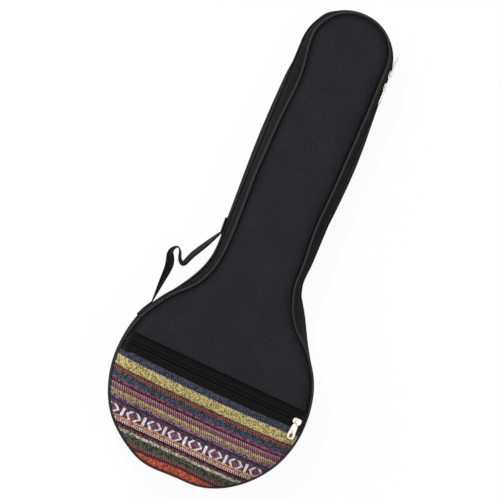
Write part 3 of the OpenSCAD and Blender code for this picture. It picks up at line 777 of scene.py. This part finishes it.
# Painted shade: both strips are darker at their seams, and the front strip is also darker all over by an even
# painted shade
side_band("rear", REAR_Z0, REAR_Z1, 14, 0, 0.6)
side_band("front", FRONT_Z1, FRONT_Z0, 8, 0.25, 0.5)
hinge_cloth = loft("hinge_cloth", "hinge", layer_section(REAR_Z0, FRONT_Z1, 0, CLOTH_T, 34))
finish_piece(hinge_cloth, M_BAND, None, "nylon_cloth", "rear_hinge_panel", "front_hinge_panel")
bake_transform(hinge_cloth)
side_padding("rear", REAR_Z0, REAR_Z1)
side_padding("front", FRONT_Z0, FRONT_Z1)
piping("front", FRONT_SEAM_Z)
piping("rear", REAR_SEAM_Z)

# ---- main zip
FRONT_COIL_Z = SPLIT_Z + COIL_GAP / 2
REAR_COIL_Z = SPLIT_Z - COIL_GAP / 2 - COIL_W
TOOTH_PITCH, TOOTH_W, TOOTH_START, TAPE_UNDER = 1.7, 1.15, 0.6, 0.6
LOOK = 0.3
TOOTH_RING = [(math.cos(a), math.sin(a)) for a in np.linspace(0, 2 * math.pi, 9)[:-1]]


def zip_tape(name, z0, z1):
    obj = loft(f"{name}_tape", "zip", layer_section(z0, z1, COIL_IN - TAPE_T / 2, COIL_IN + TAPE_T / 2, 3))
    finish_piece(obj, M_TAPE, HALF[name], "zip_tape", f"{name}_zip_tape")


def walk(points, pitch, start=0.0):
    """Points and directions at an even pitch along a row of points."""
    run = lengths(points)
    at = np.arange(start, run[-1], pitch)
    place, ahead, behind = (np.stack([np.interp(where, run, column) for column in points.T], 1)
                            for where in (at, np.minimum(at + LOOK, run[-1]), np.maximum(at - LOOK, 0)))
    return place, unit(ahead - behind)


def rods(name, places, ways, sides, length, width, height):
    """Many small rounded rods: each lies along its side direction, centred on its place."""
    m = len(TOOTH_RING)
    form = grid_faces(4, m, False, True) + [tuple(range(m - 1, -1, -1)), tuple(range(3 * m, 4 * m))]
    verts, faces = [], []
    for place, way, side in zip(places, ways, sides):
        up = np.cross(way, side)
        faces += [tuple(len(verts) + i for i in f) for f in form]
        for along, r in ((-0.5, 0.275), (-0.38, 0.5), (0.38, 0.5), (0.5, 0.275)):
            for x, y in TOOTH_RING:
                verts.append(place + side * along * length + (way * x * width + up * y * height) * r)
    return new_object(name, np.array(verts), faces)


def zip_teeth(name, z0, start):
    """One half of the coil: a rounded loop for every turn, laid along the zip's path."""
    z = z0 + COIL_W / 2
    path, other = (band_row("zip", -COIL_IN, height) for height in (z, z + 0.5))
    (place, way), (up, _) = (walk(row, TOOTH_PITCH, start) for row in (path, other))
    count = min(len(place), len(up))
    side = unit(up[:count] - place[:count])
    obj = rods(f"{name}_teeth", place[:count], way[:count], side, COIL_W, TOOTH_W, COIL_T)
    finish_piece(obj, M_COIL, HALF[name], "zip_coil", f"{name}_zip_coil")


zip_tape("front", FRONT_COIL_Z + COIL_W - TAPE_UNDER, SPLIT_Z + TAPE_W)
zip_tape("rear", SPLIT_Z - TAPE_W, REAR_COIL_Z + TAPE_UNDER)
zip_teeth("front", FRONT_COIL_Z, TOOTH_START)
zip_teeth("rear", REAR_COIL_Z, TOOTH_START + TOOTH_PITCH / 2)

PULL_END, SLOT_REACH, SLOT_GROWS, END_SQUARE = 5.25, 3.3, 1.36, 2.9


def open_pull(bm):
    """Widens the hole of a pull tab and squares its round end a little, in the tab's own plane."""
    p = np.array([v.co for v in bm.verts]) / MM
    mid = p.mean(0)
    axes = np.linalg.eigh(np.cov((p - mid).T))[1]
    width, length = axes[:, 1], axes[:, 2]
    x, y = (p - mid) @ length, (p - mid) @ width
    if np.mean(np.abs(y)[x > x.max() - 4]) < np.mean(np.abs(y)[x < x.min() + 4]):
        length, x = -length, -x
    y -= (y.max() + y.min()) / 2
    x -= x.max() - PULL_END
    r = np.maximum(np.hypot(x, y), 0.01)
    square = (np.abs(x / r) ** END_SQUARE + np.abs(y / r) ** END_SQUARE) ** (-1 / END_SQUARE)
    grow = np.where(r < SLOT_REACH, SLOT_GROWS, np.where((r > SLOT_REACH) & (x > 0), square, 1.0)) - 1
    for v, place in zip(bm.verts, p + np.outer(grow * x, length) + np.outer(grow * y, width)):
        v.co = place * MM


def softened(name, node, material, body, slot, width, reshape=None):
    """A copy of a CAD node with its edges rounded as a casting's or a moulding's are."""
    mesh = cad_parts[node].data.copy()
    obj = put_in_scene(name, mesh)
    bm = bmesh.new()
    bm.from_mesh(mesh)
    bmesh.ops.remove_doubles(bm, verts=bm.verts, dist=2e-6)
    bmesh.ops.dissolve_limit(bm, angle_limit=math.radians(1), verts=bm.verts, edges=bm.edges)
    if reshape:
        reshape(bm)
    bm.to_mesh(mesh)
    bm.free()
    modify(obj, "BEVEL", width=width * MM, segments=2, limit_method="ANGLE", angle_limit=math.radians(35))
    shade_smooth(obj.data)
    obj.data.set_sharp_from_angle(angle=math.radians(45))
    finish_piece(obj, material, body, slot, node)


softened("end_stops", "zip_end_stops", M_NICKEL, "back_half", "nickel", 0.3)
for which in ("upper", "lower", "pocket"):
    softened(f"{which}_slider_casting", f"{which}_slider", M_NICKEL, f"{which}_slider", "nickel", 0.28)
    softened(f"{which}_pull_tab", f"{which}_pull", M_NICKEL, f"{which}_pull", "nickel", 0.32, open_pull)

# ---- pocket
slant = math.radians(-POCKET_SLANT)
POCKET_TURN = np.array([[math.cos(slant), -math.sin(slant)], [math.sin(slant), math.cos(slant)]])
FOOT_Z = FRONT_SEAM_Z + 2.4
TAPE_EDGE = COIL_GAP / 2 + COIL_W - TAPE_UNDER
WOVEN_T, BAND_CLOTH_T, TAPE_TOP = 1.4, 0.9, 9.5
END_R = POCKET_R + 0.4
BAND_Z = POCKET_TAPE_Z + CLOTH_T


def from_pocket(points):
    """Plan points of the slanting pocket, put in the bag's frame."""
    return np.asarray(points) @ POCKET_TURN.T + (0, BODY_Y)


def chord(y, r, n):
    x = math.sqrt(r * r - y * y)
    return add_column(np.linspace(-x, x, n), y)


def sagged(x, r):
    """How far the pocket's top edge hangs down, from its ends to its middle."""
    return SAG * x ** 2 - SAG * r * r * 0.35


def woven_panel():
    r = POCKET_R + 0.6
    a = math.degrees(math.asin(-POCKET_TOP_Y / r))
    low = arc(0, 0, r, 180 + a, 360 - a, 120)
    top = chord(POCKET_TOP_Y, r, 80)[::-1][1:-1]
    top[:, 1] += sagged(top[:, 0], r) + 0.2
    points, faces = sheet_in(every(join([low, top]), 2.4), 3.6)
    edge = r - size(points)
    under_top = POCKET_TOP_Y - points[:, 1]
    ripple = 0.9 * wave(add_column(points * (0.5, 1), 0), 34, 2.9) - 0.4
    z = FOOT_Z + (POCKET_TOP_Z - FOOT_Z) * smooth(edge, -3, 20) - 0.9 * np.exp(-under_top / 5)
    z += smooth(edge, 6, 40) * smooth(under_top, 0, 30) * ripple
    verts = slack(add_column(from_pocket(points), z), edge, CLOTH_REACH)
    obj = new_object("pocket_woven_cloth", verts, faces, points)
    thicken(obj, WOVEN_T)
    finish_piece(obj, M_WOVEN, "front_half", "woven_cloth", "pocket_panel", "pocket_lining")
    cut = join([low * (1 + ALLOWANCE / r), top + (0, ALLOWANCE)])


def pocket_row(line, z):
    """A line across the pocket at height z, brought down to the seam at both ends."""
    edge = END_R - size(line)
    rise = FOOT_Z + (z - FOOT_Z) * smooth(edge, -1.5, 7.5)
    return slack(add_column(from_pocket(line), rise), edge, CLOTH_REACH)


def pocket_strip(name, y0, y1, heights, material, slot, replaced, thickness, sag_low=False):
    """A strip across the pocket's mouth. heights gives its rise from y0 to y1."""
    lines = []
    for share in np.linspace(0, 1, len(heights)):
        line = chord(y0 + (y1 - y0) * share, END_R, 150)
        line[:, 1] += sag_low * (1 - share) * sagged(line[:, 0], END_R)
        lines.append(line)
    rows = [pocket_row(line, z) for line, z in zip(lines, heights)]
    faces = grid_faces(len(rows), 150)
    obj = new_object(name, join(rows), faces, join(lines))
    thicken(obj, thickness)
    finish_piece(obj, material, "front_half", slot, *replaced)


def pocket_teeth():
    rows = []
    for s in (-1, 1):
        line = chord(POCKET_ZIP_Y + s * (COIL_GAP + COIL_W) / 2, END_R - 0.5, 200)
        row = pocket_row(line, POCKET_TAPE_Z - TAPE_T / 2)
        rows.append(walk(row, TOOTH_PITCH, TOOTH_PITCH / 2 * (s > 0)))
    places, ways = (join(v) for v in zip(*rows))
    sides = np.tile((*(POCKET_TURN @ (0, 1)), 0.0), (len(places), 1))
    obj = rods("pocket_teeth", places, ways, sides, COIL_W, TOOTH_W, COIL_T)
    finish_piece(obj, M_COIL, "front_half", "zip_coil", "pocket_zip_coil")


woven_panel()
pocket_strip("pocket_low_tape", POCKET_TOP_Y - 1.6, POCKET_ZIP_Y - TAPE_EDGE, [POCKET_TAPE_Z] * 5,
             M_TAPE, "zip_tape", ["pocket_zip_tape"], TAPE_T, sag_low=True)
pocket_strip("pocket_high_tape", POCKET_ZIP_Y + TAPE_EDGE, POCKET_ZIP_Y + TAPE_TOP, [POCKET_TAPE_Z] * 3,
             M_TAPE, "zip_tape", [], TAPE_T)
band_heights = [BAND_Z - fall for fall in (0.8, 0, -0.1, -0.1, 0, 0.4, 1.4, 3.2)] + [FRONT_Z + 1.0]
pocket_strip("pocket_band_cloth", POCKET_ZIP_Y + ZIP_GAP, BAND_TOP_Y, band_heights, M_PLAIN, "nylon_cloth",
             ["pocket_band"], BAND_CLOTH_T)
pocket_teeth()
softened("pocket_end_stops", "pocket_zip_stops", M_BLACKENED, "front_half", "nickel", 0.25)


# ---- straps and handle
def spline(points, per):
    """A smooth curve through points."""
    p = np.array(points, float)
    out = []
    for i in range(len(p) - 1):
        a, b, c, d = p[max(i - 1, 0)], p[i], p[i + 1], p[min(i + 2, len(p) - 1)]
        for t in np.linspace(0, 1, per, endpoint=False):
            curve = (2 * a - 5 * b + 4 * c - d) * t * t + (3 * b - a - 3 * c + d) * t ** 3
            out.append(0.5 * (2 * b + (c - a) * t + curve))
    return np.array(out + [p[-1]])


def strap(name, centre, across, width, thickness, node):
    """Webbing with rounded edges along a row of centre points, with a direction across for each."""
    across = unit(np.array(across, float))
    face = unit(np.cross(np.gradient(centre, axis=0), across))
    half, corner = thickness / 2, 0.5 - 0.3 * thickness / width
    upper = [(-corner, half), (-0.2, half), (0.2, half), (corner, half)]
    section = [(-0.5, 0), *upper, (0.5, 0), *((s, -h) for s, h in upper[::-1])]
    along = lengths(centre)
    rows = [centre + across * s * width + face * h for s, h in section]
    obj = swept(name, rows, [add_column(along, s * width) for s, h in section])
    finish_piece(obj, M_WEBBING, "back_half", "webbing", node)


HANDLE_W, HANDLE_T, HANDLE_SEWN, HANDLE_A, HANDLE_RISE = 25, 2, 27, 149, 3.0
HANDLE_Z = SPLIT_Z - ZIP_GAP - TAPE_W / 2 - HANDLE_W / 2
HANDLE_OFF = HANDLE_T / 2 + SEAM_GAP
HANDLE_TOP_Y = BODY_Y + NECK_START - 2
SLACK_ROUTE = [(-4, 0), (-26, -38), (-34, -57), (-41, -54), (-46, -42), (-52, -39), (-57.5, -49), (-52, -72)]
# How far the handle leans over along its slack part: share of the way, and degrees
HANDLE_LEAN = [(0, 0), (0.08, -8), (0.2, -16), (0.36, -12), (0.47, -8), (0.55, 10), (0.64, 30), (0.74, 27),
               (0.9, 9), (1, 0)]


def side_handle():
    """Webbing sewn to the neck and the shoulder. It turns on its edge and half over where it hangs slack."""
    top_y = np.linspace(HANDLE_TOP_Y + HANDLE_SEWN, HANDLE_TOP_Y, 9)[:-1]
    start = [(-NECK_R - HANDLE_OFF, y) for y in top_y]
    slack_part = [(-NECK_R + x, HANDLE_TOP_Y + y) for x, y in SLACK_ROUTE]
    end = arc(0, BODY_Y, BODY_R + HANDLE_OFF, HANDLE_A, HANDLE_A + math.degrees(HANDLE_SEWN / BODY_R), 10)
    middle = spline([start[-1], *slack_part, tuple(end[0])], 9)
    plan = join([start[:-1], middle, end[1:]])
    run = lengths(plan) / lengths(plan)[-1]
    lo, hi = run[len(start)], run[len(start) + len(middle) - 2]
    t = np.clip((run - lo) / (hi - lo), 0, 1)
    lean = np.interp(t, *zip(*HANDLE_LEAN))
    lean[3:-3] = np.convolve(lean, np.ones(7) / 7, "valid")
    tilt = np.radians(lean)[:, None]
    z = HANDLE_Z + HANDLE_RISE * np.sin(np.pi * t) ** 2
    centre = slack(add_column(plan, z), np.minimum(t, 1 - t) * 60)
    across = np.array((0, 0, 1)) * np.cos(tilt) + beside(np.gradient(plan, axis=0)) * np.sin(tilt)
    strap("side_handle_webbing", centre, across, HANDLE_W, HANDLE_T, "side_handle")


side_handle()
PAD_W, PAD_T, WEBBING_W, WEBBING_T = 42, 7, 20, 1.2
PAD_LOW = (58, BODY_Y + 2)
YOKE_Y = BODY_Y + NECK_START + 30
PAD_ROUTE = [(PAD_W / 2 + 1, YOKE_Y), (PAD_W / 2 + 9, YOKE_Y - 90),
             (PAD_LOW[0] - 11, PAD_LOW[1] + 62), PAD_LOW]
CLOTH_FRAMES, PAD_VOXEL, PAD_START, PAD_RISE = 20, 3.6, 4.0, 2.6
PAD_CLOTH = {"quality": 5, "mass": 0.15, "use_pressure": True, "uniform_pressure_force": 4}
BOUND_IN, BOUND_W, BOUND_H, STITCH_IN = 1.3, 1.25, 2.0, 5.2
STITCH_W, STITCH_H = 0.62, 0.5
STITCHES = {}


def inflate(obj):
    """Fills a closed form with air as cloth, without gravity. No point moves by more than PAD_RISE."""
    modify(obj, "REMESH", mode="VOXEL", voxel_size=PAD_VOXEL * MM)
    before = points_of(obj)
    cloth = add_modifier(obj, "CLOTH")
    for key, value in PAD_CLOTH.items():
        setattr(cloth.settings, key, value)
    cloth.settings.effector_weights.gravity = 0
    cloth.point_cache.frame_start = 1
    cloth.point_cache.frame_end = CLOTH_FRAMES
    for f in range(1, CLOTH_FRAMES + 1):
        bpy.context.scene.frame_set(f)
    apply_modifiers(obj)
    moved = points_of(obj) - before
    far = size(moved)
    put_points(obj, before + moved * np.minimum(1, PAD_RISE / np.maximum(far, 1e-6))[:, None])
    bpy.context.scene.frame_set(1)
    modify(obj, "SUBSURF", levels=1, render_levels=1)


def pad_line(sign, per=24):
    """The middle line of a shoulder pad, and the level direction to the left at each of its points."""
    line = spline(PAD_ROUTE, per) * (sign, 1)
    return line, -beside(np.gradient(line, axis=0))[:, :2]


def cord_ring(name, points, across, rise):
    """A bound edge along a closed row of points: an oval tube, across wide and rise high from its middle."""
    out = beside(np.roll(points, -1, 0) - np.roll(points, 1, 0))
    turns = np.linspace(0, 2 * math.pi, 11)[:-1]
    rows = [points + out * across * math.cos(a) + (0, 0, rise * math.sin(a)) for a in turns]
    return swept(name, rows, [add_column(lengths(points), k * 0.9) for k in range(len(turns))], True)


def stitches(group, points, normal, lift=0.0, pitch=3.4, length=2.3):
    """Lays a row of stitches along points, a little proud of the cloth. A group is one piece in the end."""
    place, way = walk(points, pitch, pitch / 2)
    if np.ndim(normal) == 2:
        at = pitch / 2 + pitch * np.arange(len(place))
        normal = np.stack([np.interp(at, lengths(points), column) for column in normal.T], 1)
    normal = np.broadcast_to(normal, place.shape)
    rows = STITCHES.setdefault((group, length), ([], [], []))
    rows[0].append(place + normal * lift)
    rows[1].append(unit(np.cross(normal, way)))
    rows[2].append(way)


def strap_pad(side_name, sign):
    """A shoulder pad: a filled cloth form, flat where it rests, with a bound and stitched border."""
    line, side = pad_line(sign)
    name = f"{side_name}_shoulder_pad"
    rows = [add_column(line[3:-3] + side[3:-3] * s * (PAD_W / 2 - 2.2), PAD_T / 2 + z * PAD_START)
            for s, z in ((-1, 0), (-0.6, 0.5), (0.6, 0.5), (1, 0), (0.6, -0.5), (-0.6, -0.5))]
    obj = swept(name, rows)
    inflate(obj)
    p = points_of(obj)
    near = np.argmin(np.linalg.norm(p[:, None, :2] - line[None], axis=2), axis=1)
    off = p[:, :2] - line[near]
    across = np.sum(off * side[near], axis=1)
    along = lengths(line)[near] + np.sum(off * side[near, ::-1] * (1, -1), axis=1)
    # The border is sewn down, so the filling stops short of it and the cloth dips along the seam
    inset = np.minimum(PAD_W / 2 - np.abs(across), np.minimum(along, lengths(line)[-1] - along))
    rise = (p[:, 2] - PAD_T / 2) * (0.35 + 0.65 * smooth(inset, 2, 7)) * PAD_T / (PAD_START + 1.4)
    rise += 0.22 * wave(p, 17, 9.3) * smooth(inset, 5, 9)
    p[:, 2] = np.clip(PAD_T / 2 + rise, 0.05, PAD_T - 0.05)
    put_points(obj, p)
    map_cloth(obj.data, np.column_stack([along, across]))
    shade_smooth(obj.data)
    finish_piece(obj, M_PANEL, "back_half", "nylon_cloth", f"strap_pad_{side_name}")
    reach = side * (PAD_W / 2 - BOUND_IN)
    edge = add_column(join([line + reach, (line - reach)[::-1]]), PAD_T / 2)
    edge[:, 1] = np.maximum(edge[:, 1], line[:, 1].min() + BOUND_IN - abs(side[-1, 1]) * PAD_W / 2)
    finish_piece(cord_ring(f"{name}_binding", edge, BOUND_W, BOUND_H), M_WEBBING, "back_half", "webbing")
    for s in (-1, 1):
        row = add_column(line + side * s * (PAD_W / 2 - STITCH_IN), PAD_T / 2)
        stitches("back", row[6:-6], (0, 0, -1), PAD_T * 0.36)


def band_stitches(group, z, d):
    row = band_row("zip", d, z)
    stitches(group, row, beside(np.gradient(row, axis=0)))


strap_pad("left", -1)
strap_pad("right", 1)
band_stitches("front", FRONT_Z0 + HEM - 1.5, 0.75)
band_stitches("front", FRONT_Z0 + 1.4, 0.72)
band_stitches("back", REAR_Z1 - HEM + 1.5, 0.75)
band_stitches("back", REAR_Z1 - 1.4, 0.72)
for y, z in ((BAND_TOP_Y - 2.4, FRONT_Z + 1.9), (POCKET_ZIP_Y + ZIP_GAP + 1.8, BAND_Z - 0.1)):
    stitches("front", pocket_row(chord(y, END_R - 2, 150), z), (0, 0, 1))

# ---- webbing and patches on the back
LOCK_X, LOCK_BAR, LOCK_SLOT, LEG_GAP, ANCHOR_RUN, ANCHOR_L = 6, 2.6, 6, 0.2, 62, 16
LOCK_PITCH = LOCK_BAR + LOCK_SLOT
LOCK_Z = PAD_T - 1.4 - WEBBING_T - LOCK_BAR
LEG_TOP, LEG_LOW = LOCK_Z + LOCK_BAR + LEG_GAP, LOCK_Z - LEG_GAP
TAIL_X = 2 * LOCK_PITCH + LOCK_X + 40
ANCHOR_W0, ANCHOR_W1 = WEBBING_W / 2 + 2, WEBBING_W / 2 + 8


def lock_frame(sign):
    """Origin and the two plan directions at a ladder lock: down the webbing and across it."""
    line, side = pad_line(sign, 5)
    x, y = unit(np.diff(line[-2:], axis=0))[0]
    return line[-1], (x, y), (-y, x)


def bent_webbing(name, sign, side_view, node):
    """Webbing bent round a bar. Its middle line is given by how far down the strap it is, and how high."""
    origin, down, across = lock_frame(sign)
    line = spline(side_view, 8)
    centre = add_column(origin + np.outer(line[:, 0], down), line[:, 1])
    strap(name, centre, np.tile((*across, 0.0), (len(centre), 1)), WEBBING_W, WEBBING_T, node)


def turn_round(x_in, x_bend, x_out):
    """Middle line of webbing that comes in above, turns round a bar at x_bend and goes out below."""
    s = 1 if x_bend > x_in else -1
    top, low = LEG_TOP + WEBBING_T / 2, LEG_LOW - WEBBING_T / 2
    mid, r = (top + low) / 2, (top - low) / 2
    near = x_bend - s * r
    bend = [(x_bend + s * (WEBBING_T / 2 + (r - 0.5) * (math.cos(a) - 1)), mid + r * math.sin(a))
            for a in np.radians((70, 40, 0, -40, -70))]
    return [(x_in, top), ((x_in + near) / 2, top), (near, top), *bend,
            (near, low), ((near + x_out) / 2, low), (x_out, low)]


def patch(name, corners, low, high, node, place=None):
    """A sewn patch over a four-cornered plan, with soft round edges. place puts it at a lock."""
    count = 15
    t = (1 - np.cos(np.linspace(0, math.pi, count))) / 2
    u, v = (g.ravel() for g in np.meshgrid(t, t))
    shares = np.array([(1 - u) * (1 - v), u * (1 - v), u * v, (1 - u) * v])
    plan = shares.T @ np.array(corners, float)
    if place:
        plan = place[0] + plan @ np.array(place[1:])
    edge = np.minimum(np.minimum(u, 1 - u), np.minimum(v, 1 - v))
    round_off = 0.5 * (high - low) * (1 - np.sqrt(1 - (1 - np.minimum(edge / 0.07, 1)) ** 2))
    ripple = 0.25 * wave(add_column(plan, 0), 14, 2.2) * smooth(edge, 0.02, 0.2)
    low_z, high_z = low + round_off + np.abs(ripple), high - round_off
    verts = join([add_column(plan, low_z), add_column(plan, high_z)])
    n = count * count
    top = grid_faces(count, count)
    index = np.arange(n).reshape(count, count)
    rim = [int(i) for i in (*index[0], *index[1:, -1], *index[-1, -2::-1], *index[-2:0:-1, 0])]
    faces = [tuple(i + n for i in f) for f in top] + [f[::-1] for f in top]
    faces += [(a, b, b + n, a + n) for a, b in zip(rim, rim[1:] + rim[:1])]
    obj = new_object(name, verts, faces, join([plan, plan]))
    finish_piece(obj, M_PANEL, "back_half", "nylon_cloth", node)
    centre = plan.mean(0)
    ring = plan[rim + rim[:1]]
    far = np.maximum(size(centre - ring), 1)[:, None]
    ring = ring + (centre - ring) * np.minimum(0.5, 2.6 / far)
    stitches("back", add_column(ring, low + 0.05), (0, 0, -1), 0.0, 3.0, 2.0)
    return obj


anchor_plan = [(ANCHOR_RUN, -ANCHOR_W0), (ANCHOR_RUN + ANCHOR_L, -ANCHOR_W1),
               (ANCHOR_RUN + ANCHOR_L, ANCHOR_W1), (ANCHOR_RUN, ANCHOR_W0)]
for side_name, sign in (("left", -1), ("right", 1)):
    bent_webbing(f"{side_name}_lock_loop", sign, turn_round(-3, LOCK_X + LOCK_BAR + LEG_GAP, -3),
                 f"lock_loop_{side_name}")
    run = turn_round(ANCHOR_RUN + 4, LOCK_X + LOCK_PITCH - LEG_GAP, TAIL_X)
    bent_webbing(f"{side_name}_strap_webbing", sign, run, f"strap_webbing_{side_name}")
    anchor = patch(f"{side_name}_strap_anchor", anchor_plan, LEG_TOP, PAD_T, f"strap_anchor_{side_name}",
                   lock_frame(sign))
    softened(f"{side_name}_ladder_lock", f"ladder_lock_{side_name}", M_PLASTIC, "back_half", "buckle_plastic",
             0.7)
(x0, y0, _), (x1, y1, _) = (np.array(corner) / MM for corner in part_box("strap_yoke"))
yoke = patch("shoulder_yoke", [(x0, y0), (x1, y0), (x1, y1), (x0, y1)], 1, PAD_T, "strap_yoke")

for (group, length), rows in STITCHES.items():
    obj = rods(f"{group}_stitches_{length * 10:.0f}", *(join(v) for v in rows), length, STITCH_W, STITCH_H)
    finish_piece(obj, M_THREAD, f"{group}_half", "nylon_cloth")

# ---- studio
FLOOR_SIZE, FLOOR_GREY, FLOOR_GLOW = 6000, 0.86, 0.93
WORLD_LIGHT = 0.45
WHITE = (1, 1, 1, 1)
# Each lamp: its place, the point it faces, its width in metres and its power in watts
LAMPS = {"key": ((-900, 900, 2100), (0, 0, 50), 1.1, 36), "fill": ((1300, -500, 1700), (0, -50, 50), 1.5, 14),
         "rim": ((-1600, -300, 700), (0, 0, 60), 0.9, 14)}


def seen_rays(n):
    """1 for rays from the camera and for mirrored rays."""
    rays = n.node("LightPath", output="Is Camera Ray")
    return n.math("MAXIMUM", rays, rays.output("Is Glossy Ray"))


def make_floor():
    n = Nodes("white_floor")
    diffuse = n.node("BsdfDiffuse", {0: (FLOOR_GREY, FLOOR_GREY, FLOOR_GREY, 1)})
    glow = n.node("Emission", {0: WHITE})
    blend = n.node("MixShader", {0: seen_rays(n) * FLOOR_GLOW, 1: diffuse, 2: glow})
    n.link(blend, n.tree.nodes["Material Output"].inputs[0])
    corners = [(-1, -1, 0), (1, -1, 0), (1, 1, 0), (-1, 1, 0)]
    floor = new_object("floor", np.array(corners) * FLOOR_SIZE, [(0, 1, 2, 3)])
    floor.data.materials.append(n.owner)


def make_world():
    n = Nodes("studio", "worlds")
    bpy.context.scene.world = n.owner
    back = n.tree.nodes["Background"]
    n.link(WHITE, back.inputs[0])
    n.link(seen_rays(n) * (1 - WORLD_LIGHT) + WORLD_LIGHT, back.inputs[1])


def make_lamp(name, place, aim, width, power):
    data = bpy.data.lights.new(name, "AREA")
    data.shape = "DISK"
    data.size = width
    data.energy = power
    turn = (Vector(aim) - Vector(place)).to_track_quat("-Z", "Y").to_matrix().to_4x4()
    put_in_scene(name, data).matrix_world = Matrix.Translation(Vector(place) * MM) @ turn


make_floor()
make_world()
for name, lamp in LAMPS.items():
    make_lamp(name, *lamp)
bpy.context.scene.view_settings.view_transform = "Standard"
